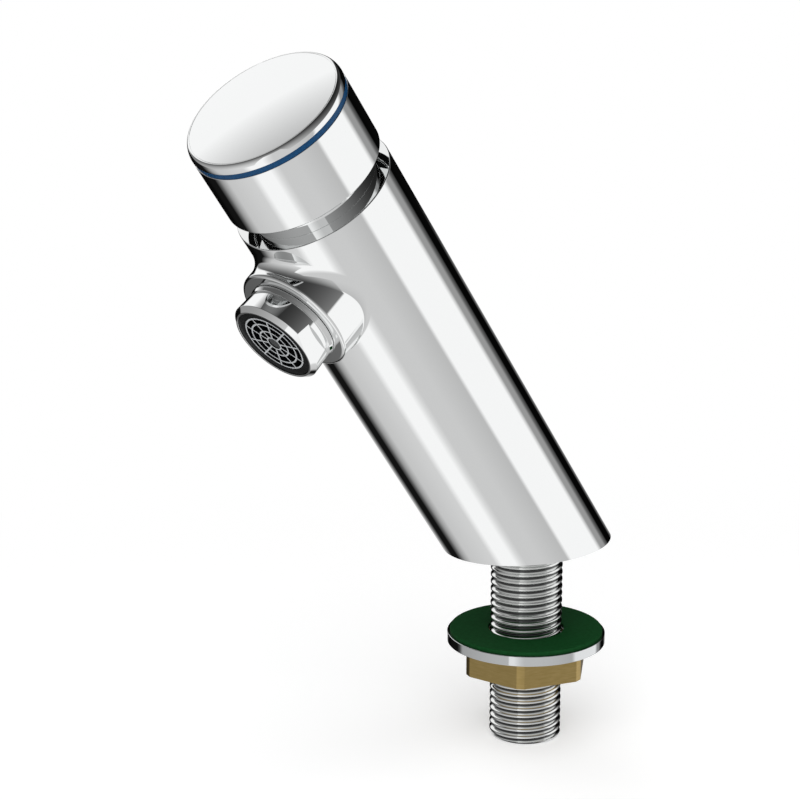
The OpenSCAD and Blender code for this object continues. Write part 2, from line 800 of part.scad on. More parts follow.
// The aerator's housing: a thread in the boss, and a flared collar with two wrench flats
module aerator_housing() {
    flat_start = t_mouth - flats_len;
    color("silver")
        spouted()
            difference() {
                rotate_extrude()
                    polygon([[insert_d / 2, t_seal], [socket_r, t_seal], [socket_r, boss_reach],
                        [flange_d / 2, boss_reach], [flange_d / 2, boss_reach + flange_t],
                        [waist_d / 2, boss_reach + 3 * flange_t], [collar_d / 2, t_mouth - mouth_bevel],
                        [mouth_d / 2, t_mouth], [mouth_r, t_mouth],
                        [mouth_r, t_mouth - mouth_depth], [insert_d / 2, t_mouth - mouth_depth]]);
                for (side = [-1, 1])
                    translate([side * (flats_w / 2 + collar_d / 2), 0, flat_start + collar_len / 2])
                        cube([collar_d, 2 * collar_d, collar_len], center = true);
            }
}

// The grille at the mouth: rings and a hub on spokes
module aerator_web() {
    color("lightgray")
        spouted() {
            for (r = [web_inner_r, web_middle_r, web_outer_r])
                ring(r + web_line / 2, r - web_line / 2, t_web_back, t_web);
            difference() {
                translate([0, 0, t_web_back])
                    cylinder(r = web_hub, h = web_t);
                translate([0, 0, t_web - web_dish])
                    cylinder(r = web_hub - web_line, h = cut);
            }
            for (i = [0 : web_spokes - 1])
                rotate([0, 0, 360 * i / web_spokes])
                    translate([web_hub - web_line / 2, -web_line / 2, t_web_back])
                        cube([web_outer_r - web_hub + web_line / 2, web_line, web_t]);
        }
}

// The insert round the grille: a plug with jet holes, whose flange fills the collar's mouth
module aerator_insert() {
    insert_r = insert_d / 2 - seat_fit;
    color("dimgray")
        spouted()
            difference() {
                union() {
                    ring(insert_r, web_outer_r - web_line, t_regulator, t_web_back);
                    ring(insert_r, web_seat_r, t_web_back - cut, t_insert);
                    ring(mouth_r - free_fit, web_seat_r, t_mouth - mouth_depth, t_insert);
                    translate([0, 0, t_regulator])
                        cylinder(r = insert_r, h = insert_t);
                }
                for (i = [0 : jets - 1])
                    rotate([0, 0, 360 * i / jets])
                        translate([insert_r * 0.66, 0, t_regulator - cut])
                            cylinder(d = jet_d, h = insert_t + 2 * cut, $fn = 24);
            }
}

module flow_regulator() {
    color("mediumseagreen")
        spouted()
            difference() {
                translate([0, 0, t_sieve])
                    cylinder(r = insert_d / 2 - seat_fit, h = regulator_t);
                ring(insert_d * 0.34, insert_d * 0.2, t_sieve - cut, t_sieve + regulator_t * 0.6);
                for (i = [0 : 7])
                    rotate([0, 0, 45 * i])
                        translate([insert_d * 0.27, 0, t_sieve])
                            cylinder(d = 1.8, h = regulator_t + cut, $fn = 24);
            }
}

module aerator_sieve() {
    sieve_r = insert_d / 2 - seat_fit;
    color("lightgray")
        spouted()
            rotate_extrude()
                polygon([[0, t_seal + 0.2], [sieve_r * 0.6, t_seal + 0.2], [sieve_r - 0.6, t_sieve - sieve_t],
                    [sieve_r, t_sieve - sieve_t], [sieve_r, t_sieve], [sieve_r - 1, t_sieve],
                    [sieve_r * 0.58, t_seal + 0.2 + sieve_t], [0, t_seal + 0.2 + sieve_t]]);
}

module aerator_seal() {
    color("dimgray")
        spouted()
            ring(socket_r - free_fit, spout_bore / 2 + 0.2, t_floor, t_seal);
}

// The shank: its thread is drawn at its full diameter
module threaded_shank() {
    color("silver")
        difference() {
            rotate_extrude()
                polygon([[0, -shank_len], [shank_r - shank_chamfer, -shank_len],
                    [shank_r, -shank_len + shank_chamfer], [shank_r, socket_len], [0, socket_len]]);
            translate([0, 0, -shank_len - cut])
                cylinder(d = shank_bore, h = shank_len + socket_len + 2 * cut);
            translate([0, 0, -shank_len - cut])
                cylinder(d = strainer_d + 2 * seat_fit, h = strainer_rim_t + cut);
        }
}

module shank_seal() {
    color("dimgray")
        ring(shank_r - free_fit, elbow_r + free_fit, socket_len, socket_len + shank_seal_t);
}

// The strainer: a rim in the shank's mouth and a slotted cup up the bore
module inlet_strainer() {
    cup_r = shank_bore / 2 - strainer_play;
    slot_h = strainer_h - strainer_rim_t - 3 * strainer_wall;
    color("whitesmoke")
        difference() {
            union() {
                translate([0, 0, -shank_len])
                    cylinder(d = strainer_d, h = strainer_rim_t);
                translate([0, 0, -shank_len])
                    cylinder(r = cup_r, h = strainer_h);
            }
            translate([0, 0, -shank_len - cut])
                cylinder(r = cup_r - strainer_wall, h = strainer_h - strainer_wall + cut);
            for (i = [0 : strainer_slots - 1])
                rotate([0, 0, 360 * i / strainer_slots])
                    translate([0, -strainer_slot_w / 2, -shank_len + strainer_rim_t + strainer_wall])
                        cube([shank_bore, strainer_slot_w, slot_h]);
        }
}

module base_seal_ring() {
    color("dimgray")
        o_ring(base_ring_d / 2, base_ring_t / 2, base_ring_t);
}

// Height of each layer of the fixing set, from the gasket's top down
z_gasket = -deck_gap;
z_washer = z_gasket - gasket_t;
z_nut = z_washer - washer_t;

module base_gasket() {
    edge = gasket_t * 0.45;
    color("darkgreen")
        rotate_extrude()
            polygon(concat([[shank_r + washer_play, z_washer], [gasket_d / 2, z_washer]],
                quarter(gasket_d / 2 - edge, z_gasket - edge, edge, edge, 0, 5),
                [[shank_r + washer_play, z_gasket]]));
}

module clamp_washer() {
    color("silver")
        rotate_extrude()
            polygon([[shank_r + washer_play, z_nut], [washer_d / 2 - washer_bevel / 2, z_nut],
                [washer_d / 2, z_nut + washer_bevel / 2], [washer_d / 2, z_washer - washer_bevel],
                [washer_d / 2 - washer_bevel, z_washer], [shank_r + washer_play, z_washer]]);
}

// The nut: a hexagon with its corners trimmed round
module fixing_nut() {
    color("darkgoldenrod")
        rotate([0, 0, nut_turn])
            difference() {
                intersection() {
                    hexagon(nut_w, z_nut - nut_h, z_nut);
                    translate([0, 0, z_nut - nut_h])
                        cylinder(d = nut_corner_d, h = nut_h);
                }
                translate([0, 0, z_nut - nut_h - cut])
                    cylinder(r = shank_r + run_fit, h = nut_h + 2 * cut);
            }
}

tap_body();
guide_sleeve();
cap_skirt();
marker_ring();
cap_cover();
cap_nut();
cartridge_housing();
cartridge_head();
upper_o_ring();
lower_o_ring();
gland_o_ring();
valve_seat();
spindle();
piston();
piston_lip_seal();
return_spring();
valve_disc();
valve_washer();
valve_screw();
timing_screw();
aerator_housing();
aerator_web();
aerator_insert();
flow_regulator();
aerator_sieve();
aerator_seal();
threaded_shank();
shank_seal();
inlet_strainer();
base_seal_ring();
base_gasket();
clamp_washer();
fixing_nut();
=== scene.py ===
# %% [markdown]
# # A push timed tap
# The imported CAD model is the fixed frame. Every piece here is made in its place,
# in metres, and rides on a body of that frame. Chrome shows every small error of
# a surface, so the chromed pieces are made again as exact surfaces with exact normals.

# %% Load the frame
import math

import bpy
import numpy as np
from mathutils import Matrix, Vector


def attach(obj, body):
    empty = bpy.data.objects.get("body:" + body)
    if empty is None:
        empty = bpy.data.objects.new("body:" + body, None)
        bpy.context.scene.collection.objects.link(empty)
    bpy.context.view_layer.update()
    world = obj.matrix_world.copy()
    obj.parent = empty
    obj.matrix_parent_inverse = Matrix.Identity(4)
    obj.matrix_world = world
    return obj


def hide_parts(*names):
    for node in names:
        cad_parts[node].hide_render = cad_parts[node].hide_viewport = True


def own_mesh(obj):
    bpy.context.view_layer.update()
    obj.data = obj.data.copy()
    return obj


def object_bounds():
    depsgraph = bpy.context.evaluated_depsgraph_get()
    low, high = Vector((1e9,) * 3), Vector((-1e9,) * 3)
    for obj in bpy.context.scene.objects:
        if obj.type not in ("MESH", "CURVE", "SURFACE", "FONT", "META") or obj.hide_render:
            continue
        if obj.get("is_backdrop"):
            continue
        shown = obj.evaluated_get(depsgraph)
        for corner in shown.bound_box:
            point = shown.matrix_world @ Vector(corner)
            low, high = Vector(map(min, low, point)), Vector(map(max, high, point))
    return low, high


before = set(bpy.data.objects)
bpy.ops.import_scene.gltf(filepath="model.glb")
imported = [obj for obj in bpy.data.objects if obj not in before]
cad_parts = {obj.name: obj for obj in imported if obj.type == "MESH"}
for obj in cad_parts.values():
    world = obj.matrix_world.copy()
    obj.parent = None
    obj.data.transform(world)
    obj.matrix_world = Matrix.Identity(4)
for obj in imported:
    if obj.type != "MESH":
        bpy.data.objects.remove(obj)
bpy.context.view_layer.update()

# %% [markdown]
# ## Three directions
# The tap leans 37 degrees forward. ALONG runs up its axis, OUT leaves the spout at a
# right angle to it, and SIDE runs across. Working in these three keeps every formula
# as simple as on an upright tap.

# %% Directions of the tap
LEAN = math.radians(37.0)
ALONG = np.array([0.0, -math.sin(LEAN), math.cos(LEAN)])
OUT = np.array([0.0, -math.cos(LEAN), -math.sin(LEAN)])
SIDE = np.array([1.0, 0.0, 0.0])
UP = np.array([0.0, 0.0, 1.0])
BACK = np.array([0.0, 1.0, 0.0])
MM = 0.001

# The body's radius, and how far up its axis the rim and the spout's axis lie, in millimetres
BODY_R, RIM, SPOUT = 21.8, 139.3, 117.5
print("ALONG", ALONG.round(4), "OUT", OUT.round(4))

# %% [markdown]
# ## The camera
# It stands where the photograph was taken from: to the right of the spout, a little
# above, with a long lens. Both the place and the lens were solved from the outlines.

# %% Camera
eye = np.array([0.4285, -0.4840, 0.2003])
gaze = np.array([-0.6842, 0.6892, -0.2385])
camera = bpy.data.objects.new("camera", bpy.data.cameras.new("camera"))
bpy.context.scene.collection.objects.link(camera)
bpy.context.scene.camera = camera
camera.data.sensor_width = 36.0
camera.data.lens = 104.576
camera.data.clip_start = 0.01
camera.location = eye
camera.rotation_euler = Vector(gaze).to_track_quat("-Z", "Y").to_euler()
print("lens", camera.data.lens, "mm")

# %% [markdown]
# ## From formula to mesh
# A patch is a grid of points and a grid of normals, both straight from a formula.
# Patches that share an edge have the same points there, so they are welded by place.
# Each patch keeps its own normals, which leaves real edges crisp and round faces round.

# %% Patches become a mesh
TINY = 1e-12  # keeps a length of nothing from dividing
WELD_STEPS = 1e4  # to the millimetre: points within one step become one


def patch(points, normals):
    """Points and unit normals of a grid: rows x columns x 3, points in millimetres."""
    points = np.asarray(points, float)
    normals = np.broadcast_to(np.asarray(normals, float), points.shape)
    length = np.linalg.norm(normals, axis=-1, keepdims=True)
    return points, normals / np.maximum(length, TINY)


def corners_of(points):
    """The four corners of each cell of a grid, as numbers of its points."""
    rows, cols = points.shape[:2]
    n = np.arange(rows * cols).reshape(rows, cols)
    return np.stack([n[:-1, :-1], n[:-1, 1:], n[1:, 1:], n[1:, :-1]], -1).reshape(-1, 4)


def mesh_from(name, patches):
    """Welds points that lie within a tenth of a micrometre, turns each cell so that it
    faces along its normals, and drops the sides that shrank to nothing at a pole."""
    points = np.concatenate([p.reshape(-1, 3) for p, n in patches])
    normals = np.concatenate([n.reshape(-1, 3) for p, n in patches])
    starts = np.cumsum([0] + [p.shape[0] * p.shape[1] for p, n in patches[:-1]])
    cells = np.concatenate([corners_of(p) + s for (p, n), s in zip(patches, starts)])
    a, b, c, d = (points[cells[:, i]] for i in range(4))
    facing = np.cross(c - a, d - b)
    wrong = np.einsum("ij,ij->i", facing, normals[cells].sum(1)) < 0
    cells[wrong] = cells[wrong][:, ::-1]
    key = np.round(points * WELD_STEPS).astype(np.int64)
    first, weld = np.unique(key, axis=0, return_index=True, return_inverse=True)[1:]
    weld = weld.reshape(-1)
    ids = weld[cells]
    keep = ids != np.roll(ids, -1, axis=1)
    count = keep.sum(1)
    faces, shading = [], []
    for sides in (4, 3):
        pick = keep[count == sides]
        rows = cells[count == sides][pick].reshape(-1, sides)
        faces += weld[rows].tolist()
        shading.append(normals[rows].reshape(-1, 3))
    mesh = bpy.data.meshes.new(name)
    mesh.from_pydata((points[first] * MM).tolist(), [], faces)
    mesh.polygons.foreach_set("use_smooth", np.ones(len(faces), bool))
    mesh.update()
    mesh.normals_split_custom_set(np.concatenate(shading).tolist())
    return mesh

print("points weld within", 1000 / WELD_STEPS, "micrometres")

# %% [markdown]
# One function says them, so that no piece leaves one out.

# %% A piece of the tap
def piece(name, patches, body, finish, stands_for):
    """One piece of the tap: its mesh, its material, the body it rides on, and the CAD
    node it stands for."""
    made = bpy.data.objects.new(name, mesh_from(name, patches))
    bpy.context.scene.collection.objects.link(made)
    made.data.materials.append(finish)
    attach(made, body)
    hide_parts(stands_for)
    print(name, len(made.data.polygons), "faces")
    return made

# %% [markdown]
# ## Turned pieces
# Most of a tap is turned on a lathe: a profile carried round an axis. Real edges are
# never perfectly sharp, so each corner of a profile is a small arc, whose bright line
# is what makes metal look solid.

# %% Profiles and turning
STEPS_ROUND = 192


def rounded(corners, radii, steps=6, closed=True):
    """An outline with an arc of steps + 1 points at each corner: the arc starts radius *
    tan(half the turn) before the corner, and its direction then turns evenly to that of
    the next side. The outside is on the right. Returns points and normals."""
    corners = np.asarray(corners, float)
    radii = np.broadcast_to(np.asarray(radii, float), (len(corners),))
    before = corners - np.roll(corners, 1, axis=0)
    after = np.roll(corners, -1, axis=0) - corners
    before /= np.linalg.norm(before, axis=1, keepdims=True) + TINY
    after /= np.linalg.norm(after, axis=1, keepdims=True) + TINY
    crossing = before[:, 0] * after[:, 1] - before[:, 1] * after[:, 0]
    turn = np.arctan2(crossing, (before * after).sum(1))
    if not closed:
        turn[[0, -1]] = 0
        before[0], after[-1] = after[0], before[-1]
        radii = radii * (np.arange(len(corners)) % (len(corners) - 1) > 0)
    start = corners - before * (radii * np.tan(np.abs(turn) / 2))[:, None]
    heading = np.arctan2(before[:, 1], before[:, 0])[:, None]
    angle = heading + turn[:, None] * np.linspace(0, 1, steps + 1)
    left = np.stack([-np.sin(angle), np.cos(angle)], -1)
    shift = (np.sign(turn) * radii)[:, None, None] * (left[:, :1] - left)
    points = (start[:, None] + shift).reshape(-1, 2)
    normals = -left.reshape(-1, 2)
    if closed:
        points, normals = (np.concatenate([v, v[:1]]) for v in (points, normals))
    return points, normals


def turned(profile, normals, axis=ALONG, across=SIDE, angles=None, centre=(0, 0, 0)):
    """A profile of radius and height carried round an axis: each point is height along
    the axis plus radius times the direction at its angle."""
    if angles is None:
        angles = np.linspace(0, 2 * np.pi, STEPS_ROUND + 1)
    third = np.cross(axis, across)
    ray = np.cos(angles)[:, None] * across + np.sin(angles)[:, None] * third
    points, leans = (v[:, None, :1] * ray[None] + v[:, None, 1:] * axis
                     for v in (np.asarray(profile), np.asarray(normals)))
    return patch(points + np.asarray(centre), leans)

print("rounded square:", rounded([(0, 0), (1, 0), (1, 1), (0, 1)], 0.1)[0].shape, "points")

# %% [markdown]
# ## Materials
# Colours are written as on a screen and turned to linear light once. A noise has about
# one mark to each unit of its scale, so a scale is counted from marks in real millimetres.

# %% Colours and scales
def linear(hex_colour):
    """sRGB hex to linear light: a short straight part, then a power of 2.4."""
    v = np.array([int(hex_colour[i:i + 2], 16) for i in (1, 3, 5)]) / 255
    v = np.where(v <= 0.04045, v / 12.92, ((v + 0.055) / 1.055) ** 2.4)
    return (*v.tolist(), 1.0)


def between(dark, light):
    """Stops of a ramp that blends two colours over the middle range of a noise."""
    return [(0.3, linear(dark)), (0.7, linear(light))]


def marks(count, length):
    """The scale of a noise with so many marks in so many millimetres: count / length."""
    return count / (length * MM)

print("a mark every 11 mm is a scale of", marks(9, 100))

# %% [markdown]
# Two functions build every material. One adds a node, sets its inputs and links what is
# itself a socket, and the other starts a material with the shader that all of them share.

# %% Nodes
def node(tree, kind, **given):
    """Adds a node of a kind, written without its ShaderNode. What starts with a capital,
    with _ for a space, or is n0 or n1 by number, is an input: a value, or the socket of
    another node. The rest are the node's own settings, and stops are those of a colour
    ramp: pairs of position and linear grey or colour."""
    made = tree.nodes.new("ShaderNode" + kind)
    for key, value in given.items():
        numbered = key[0] == "n" and key[1:].isdigit()
        if key == "stops":
            elements = made.color_ramp.elements
            for i, (at, colour) in enumerate(value):
                element = elements[i] if i < 2 else elements.new(at)
                element.position = at
                element.color = colour if isinstance(colour, tuple) else (colour, colour, colour, 1.0)
        elif not numbered and key[0].islower():
            setattr(made, key, value)
        else:
            socket = made.inputs[int(key[1:]) if numbered else key.replace("_", " ")]
            if isinstance(value, bpy.types.NodeSocket):
                tree.links.new(value, socket)
            else:
                socket.default_value = value
    return made


def material(name, **principled):
    """A material with one Principled shader, whose plain values are set on the shader.
    Returns it with its tree, its shader and the socket of each point's place in metres."""
    made = bpy.data.materials.new(name)
    made.use_nodes = True
    tree = made.node_tree
    shader = tree.nodes["Principled BSDF"]
    for key, value in principled.items():
        shader.inputs[key.replace("_", " ")].default_value = value
    return made, tree, shader, node(tree, "TexCoord").outputs["Object"]

print("materials before the first one:", len(bpy.data.materials))

# %% [markdown]
# Polished chrome plate on brass is thinner than a hair and copies the buffed metal under
# it. The eye gets a mirror with almost no colour, and where a cloth wiped it, about every
# 11 mm, the mirror is a trace softer. Hardly any light gets into the narrow joint between
# boss and collar, so the plate there is painted dark, as painted shade: the joint is found
# by its height out of the spout and its distance from the spout's axis.

# %% Chrome
def from_spout_axis(tree, place):
    """The way from a point of the spout's axis to the place, and the distance from the
    axis: the length of that way's cross product with the axis."""
    way = node(tree, "VectorMath", operation="SUBTRACT", n0=place, n1=tuple(SPOUT * MM * ALONG)).outputs[0]
    across = node(tree, "VectorMath", operation="CROSS_PRODUCT", n0=way, n1=tuple(OUT))
    distance = node(tree, "VectorMath", operation="LENGTH", n0=across.outputs[0])
    return way, distance.outputs["Value"]


def polished(name, scale, detail, smoothest, roughest, **principled):
    """A metal whose roughness wavers between two values, in a noise."""
    made, tree, shader, place = material(name, Metallic=1.0, **principled)
    wipe = node(tree, "TexNoise", Vector=place, Scale=scale, Detail=detail)
    rough = node(tree, "MapRange", Value=wipe.outputs["Fac"], To_Min=smoothest, To_Max=roughest)
    tree.links.new(rough.outputs[0], shader.inputs["Roughness"])
    return made, tree, shader, place


JOINT_R, JOINT_LOW, JOINT_HIGH = 12.78, 25.58, 25.7
chrome, tree, shader, place = polished("polished_chrome_plate", marks(9, 100), 3.0, 0.015, 0.04)
height = node(tree, "VectorMath", operation="DOT_PRODUCT", n0=place, n1=tuple(OUT))
joint = node(tree, "Math", operation="COMPARE", n0=height.outputs["Value"],
             n1=(JOINT_LOW + JOINT_HIGH) / 2 * MM, n2=(JOINT_HIGH - JOINT_LOW) / 2 * MM)
inside = node(tree, "Math", operation="LESS_THAN", n0=from_spout_axis(tree, place)[1], n1=JOINT_R * MM)
# Painted shade: the plate in the joint between boss and collar gets the dark colour.
joint_painted_shade = node(tree, "Math", operation="MULTIPLY", n0=joint.outputs[0], n1=inside.outputs[0])
plate = node(tree, "MixRGB", n0=joint_painted_shade.outputs[0], n1=linear("#EDEEEE"), n2=linear("#3A3A3A"))
tree.links.new(plate.outputs[0], shader.inputs["Base Color"])
print(chrome.name, len(tree.nodes), "nodes")

# %% [markdown]
# The shank is turned brass under bright nickel, plated in a tumbling barrel. The eye gets
# a mirror a little softer than chrome, uneven from one 2 mm patch to the next. The roots of
# its thread carry painted shade, so the tint follows the distance from the upright axis:
# bright on the crests, painted dark at the roots, and bright again inside the bore.

# %% Nickel
SHANK_R, TINT_DEPTH = 10.4775, 1.2
nickel, tree, shader, place = polished("bright_nickel_plate", marks(5, 10), 2.0, 0.05, 0.1)
level = node(tree, "VectorMath", operation="MULTIPLY", n0=place, n1=(1.0, 1.0, 0.0))
from_axis = node(tree, "VectorMath", operation="LENGTH", n0=level.outputs[0])
on_ridge = node(tree, "MapRange", Value=from_axis.outputs["Value"],
                From_Min=(SHANK_R - TINT_DEPTH) * MM, From_Max=SHANK_R * MM)
# Painted shade: the roots of the thread get the dark tint, the crests and the bore the bright one.
bright, root_painted_shade = linear("#E4E5E4"), linear("#626363")
shading = [(0.0, bright), (0.12, root_painted_shade), (0.27, root_painted_shade), (0.45, bright)]
tint = node(tree, "ValToRGB", stops=shading, n0=on_ridge.outputs[0])
tree.links.new(tint.outputs[0], shader.inputs["Base Color"])
print(nickel.name, len(tree.nodes), "nodes")

# %% [markdown]
# The marker ring is moulded ABS, coloured through, from a polished mould. The eye gets one
# deep blue with a low sheen and hardly a fleck. Pigment lumps are far smaller than the
# 0.8 mm drawn here: they are drawn coarser than real, so that the blue isn't dead flat.

# %% Blue ring
def flecked(name, dark, light, scale, detail, **principled):
    """A material whose colour wavers between two close tints, in a noise."""
    made, tree, shader, place = material(name, **principled)
    fleck = node(tree, "TexNoise", Vector=place, Scale=scale, Detail=detail)
    tint = node(tree, "ValToRGB", stops=between(dark, light), n0=fleck.outputs["Fac"])
    tree.links.new(tint.outputs[0], shader.inputs["Base Color"])
    print(name, dark, light)
    return made


blue = flecked("moulded_blue_abs", "#0E3F67", "#114772", marks(12, 10), 2.0,
               IOR=1.54, Roughness=0.3, Specular_IOR_Level=0.15)

# %% [markdown]
# The nut is bare brass, milled from bar. The cutter leaves fine level lines, which the eye
# reads as satin bands that change with the light. A cutter's marks lie about 0.2 mm apart:
# the 0.4 mm here is coarser than real, so that they show, and each is about 3 mm long.

# %% Brass
brass, tree, shader, place = material("milled_brass", Metallic=1.0)
stretch = node(tree, "Mapping", Vector=place, Scale=(marks(3, 10), marks(3, 10), marks(25, 10)))
lines = node(tree, "TexNoise", Vector=stretch.outputs[0], Scale=1.0, Detail=3.0)
tint = node(tree, "ValToRGB", stops=between("#A58E58", "#B49C66"), n0=lines.outputs["Fac"])
tree.links.new(tint.outputs[0], shader.inputs["Base Color"])
rough = node(tree, "MapRange", Value=lines.outputs["Fac"], To_Min=0.28, To_Max=0.42)
tree.links.new(rough.outputs[0], shader.inputs["Roughness"])
print(brass.name, len(tree.nodes), "nodes")

# %% [markdown]
# The washer is stamped steel under bright zinc. The eye gets a clear, slightly cool
# mirror, whose polish changes over the 1.4 mm or so of the dents from the plating barrel.

# %% Steel
steel = polished("zinc_plated_steel", marks(7, 10), 3.0, 0.04, 0.09, Base_Color=linear("#D6D8D9"))[0]
print(steel.name)

# %% [markdown]
# The gasket is punched from pressed fibre sheet. The eye gets a dull, dark green with no
# gloss, slightly clouded. Its fibres are a few tenths of a millimetre across: the clouds of
# 1.1 mm are coarser than real, so that they show.

# %% Gasket
gasket_green = flecked("pressed_fibre_gasket", "#113F1C", "#154823", marks(9, 10), 4.0,
                       IOR=1.4, Roughness=0.8, Specular_IOR_Level=0.1)

# %% [markdown]
# The parts that work in the water are moulded: acetal slides and doesn't swell, and EPDM
# rubber seals. The eye gets a satin white, black or green, and a rubber with hardly any
# sheen. As on the ring, the flecks of 0.8 mm are coarser than real, so that they show.

# %% Plastics and rubber
def moulded(name, dark, light, roughness, specular=0.5):
    """A moulded plastic or rubber: two close tints in a fine noise."""
    return flecked(name, dark, light, marks(12, 10), 3.0,
                   IOR=1.5, Roughness=roughness, Specular_IOR_Level=specular)


white_pom = moulded("moulded_white_acetal", "#DEDCD3", "#EAE8E1", 0.4)
rubber = moulded("moulded_epdm_rubber", "#171718", "#202021", 0.65)
plug_black = moulded("moulded_black_acetal", "#0E0F10", "#161718", 0.35, 0.12)
regulator_green = moulded("moulded_green_acetal", "#38925F", "#429F6C", 0.4)
print(len(bpy.data.materials), "materials so far")

# %% [markdown]
# The grille is grey where its faces look out of the spout and black on all other faces,
# painted shade in its holes, which the eye reads as thin pale lines over dark holes. The
# hub's dish, within its radius of the spout's axis, is painted darker, as painted shade in
# its recess. The grey's grain of 0.7 mm is coarser than real, so that it shows.

# %% Grille
HUB_R, FACES_OUT = 1.87, 0.9
grille_grey, tree, shader, place = material("grille_grey_and_painted_shade", IOR=1.5, Roughness=0.45,
                                            Specular_IOR_Level=0.2)
way, distance = from_spout_axis(tree, place)
facing = node(tree, "VectorMath", operation="DOT_PRODUCT",
              n0=node(tree, "NewGeometry").outputs["Normal"], n1=tuple(OUT))
# Painted shade: faces that don't look out of the spout are black, and the hub's dish is dark grey.
looks_out_mask = node(tree, "Math", operation="GREATER_THAN", n0=facing.outputs["Value"], n1=FACES_OUT)
in_hub = node(tree, "Math", operation="LESS_THAN", n0=distance, n1=HUB_R * MM)
speckle = node(tree, "TexNoise", Vector=way, Scale=marks(15, 10))
tint = node(tree, "ValToRGB", stops=between("#B9BCBE", "#C6C9CB"), n0=speckle.outputs["Fac"])
front = node(tree, "MixRGB", n0=in_hub.outputs[0], n1=tint.outputs[0], n2=linear("#4B4C4D"))
whole = node(tree, "MixRGB", n0=looks_out_mask.outputs[0], n1=linear("#0C0D0E"), n2=front.outputs[0])
tree.links.new(whole.outputs[0], shader.inputs["Base Color"])
print(len(bpy.data.materials), "materials")

# %% [markdown]
# ## The body
# The body is a leaning cylinder, cut level at its base. A boss stands out of it for the
# spout, and the fillet between the two widens from a hair at the underside to three
# millimetres on top. The whole outside is one net of lines that start round the boss
# and run out to the rim and the base, so that no seam crosses the chrome.

# %% Sizes of boss and fillet
BOSS_R, BOSS_REACH, BOSS_EDGE = 16.0, 25.6, 0.9
BLEND_TOP, BLEND_LOW, BLEND_WEIGHT = 3.2, 0.5, 0.72


def blend_width(a):
    """Width of the fillet at angle a round the boss: its least width, plus a share of
    the rest that is (1 + sin a) / 2 to the power 1.5."""
    return BLEND_LOW + (BLEND_TOP - BLEND_LOW) * ((1 + np.sin(a)) / 2) ** 1.5


def depth_of_body(r, a):
    """How far out the body's cylinder lies at distance r from the spout's axis: the root
    of the body's radius squared less (r cos a) squared."""
    return np.sqrt(BODY_R ** 2 - (r * np.cos(a)) ** 2)


def from_spout(x, up, out):
    """A point given across, up along the body from the spout's axis, and outwards."""
    return x[..., None] * SIDE + (SPOUT + up)[..., None] * ALONG + out[..., None] * OUT


def across_cells(points):
    """Unit normals of a grid whose columns close on themselves: the cross product of
    the differences along its rows and its columns."""
    down = np.gradient(points, axis=0)
    ring = points[:, :-1]
    side = (np.roll(ring, -1, axis=1) - np.roll(ring, 1, axis=1)) / 2
    side = np.concatenate([side, side[:, :1]], axis=1)
    n = np.cross(side, down)
    return n / np.maximum(np.linalg.norm(n, axis=-1, keepdims=True), TINY)

print("fillet in mm, top and underside:", blend_width(np.pi / 2), blend_width(-np.pi / 2))

# %% [markdown]
# The net is worked out on the unrolled cylinder, a sheet as wide as the body's
# circumference. Its upper edge is the rim, and its lower edge is the curve that the
# level cut leaves. Each line runs from the fillet's edge to a point of the outline.

# %% The body's outside
def base_at(psi):
    """Height along the body at which the level cut meets it: radius * tan(lean) * cos psi,
    with psi the angle round the body from the spout's side."""
    return BODY_R * np.tan(LEAN) * np.cos(psi)


RIM_EDGE, SIDE_STEPS, NET_ROWS, CROWDING = 0.3, 80, 57, 1.4
turns = np.linspace(-np.pi, np.pi, STEPS_ROUND + 1)
sides = np.linspace(0, 1, SIDE_STEPS + 1)[1:-1]
top = np.stack([turns[::-1], np.full(turns.size, RIM - RIM_EDGE)], -1)
low = np.stack([turns, base_at(turns)], -1)
seam = RIM - RIM_EDGE + (base_at(np.pi) - RIM + RIM_EDGE) * sides
left = np.stack([np.full(sides.size, -np.pi), seam], -1)
right = left[::-1] * [-1, 1]
outline = np.concatenate([top, left, low, right, top[:1]])

# The rows of the net crowd towards the fillet
round_boss = np.arctan2(outline[:, 1] - SPOUT, BODY_R * outline[:, 0])
width = blend_width(round_boss)
edge_r = BOSS_R + width
across_body = np.arcsin(edge_r * np.cos(round_boss) / BODY_R)
inner = np.stack([across_body, SPOUT + edge_r * np.sin(round_boss)], -1)
share = (np.linspace(0, 1, NET_ROWS) ** CROWDING)[:, None, None]
net = inner + (outline - inner) * share
psi, s = net[..., 0], net[..., 1]
skin_normal = np.sin(psi)[..., None] * SIDE + np.cos(psi)[..., None] * OUT
outside = patch(BODY_R * skin_normal + s[..., None] * ALONG, skin_normal)
print("lines of the net:", outline.shape[0])

# %% [markdown]
# The fillet itself is a conic: it leaves the boss along the boss, arrives on the body
# along the body, and its weight keeps it close to a round arc in between. It may take
# up most of the boss's free side, never all of it.

# %% Fillet
FILLET_ROWS, MOST = 15, 0.85
a = round_boss
boss_foot = depth_of_body(BOSS_R, a)
start_out = boss_foot + np.minimum(width, MOST * (BOSS_REACH - BOSS_EDGE - boss_foot))
end_out = depth_of_body(edge_r, a)
slope = -edge_r * np.cos(a) ** 2 / end_out
knee_out = end_out + slope * (BOSS_R - edge_r)
t = np.linspace(0, 1, FILLET_ROWS)[:, None]
parts = (1 - t) ** 2, 2 * BLEND_WEIGHT * t * (1 - t), t ** 2
r = (parts[0] * BOSS_R + parts[1] * BOSS_R + parts[2] * edge_r) / sum(parts)
out = (parts[0] * start_out + parts[1] * knee_out + parts[2] * end_out) / sum(parts)
fillet_points = from_spout(r * np.cos(a), r * np.sin(a), out)
ray = np.cos(a)[:, None] * SIDE + np.sin(a)[:, None] * ALONG
fillet_normals = across_cells(fillet_points)
fillet_normals *= np.sign((fillet_normals * (ray + OUT)).sum(-1, keepdims=True))
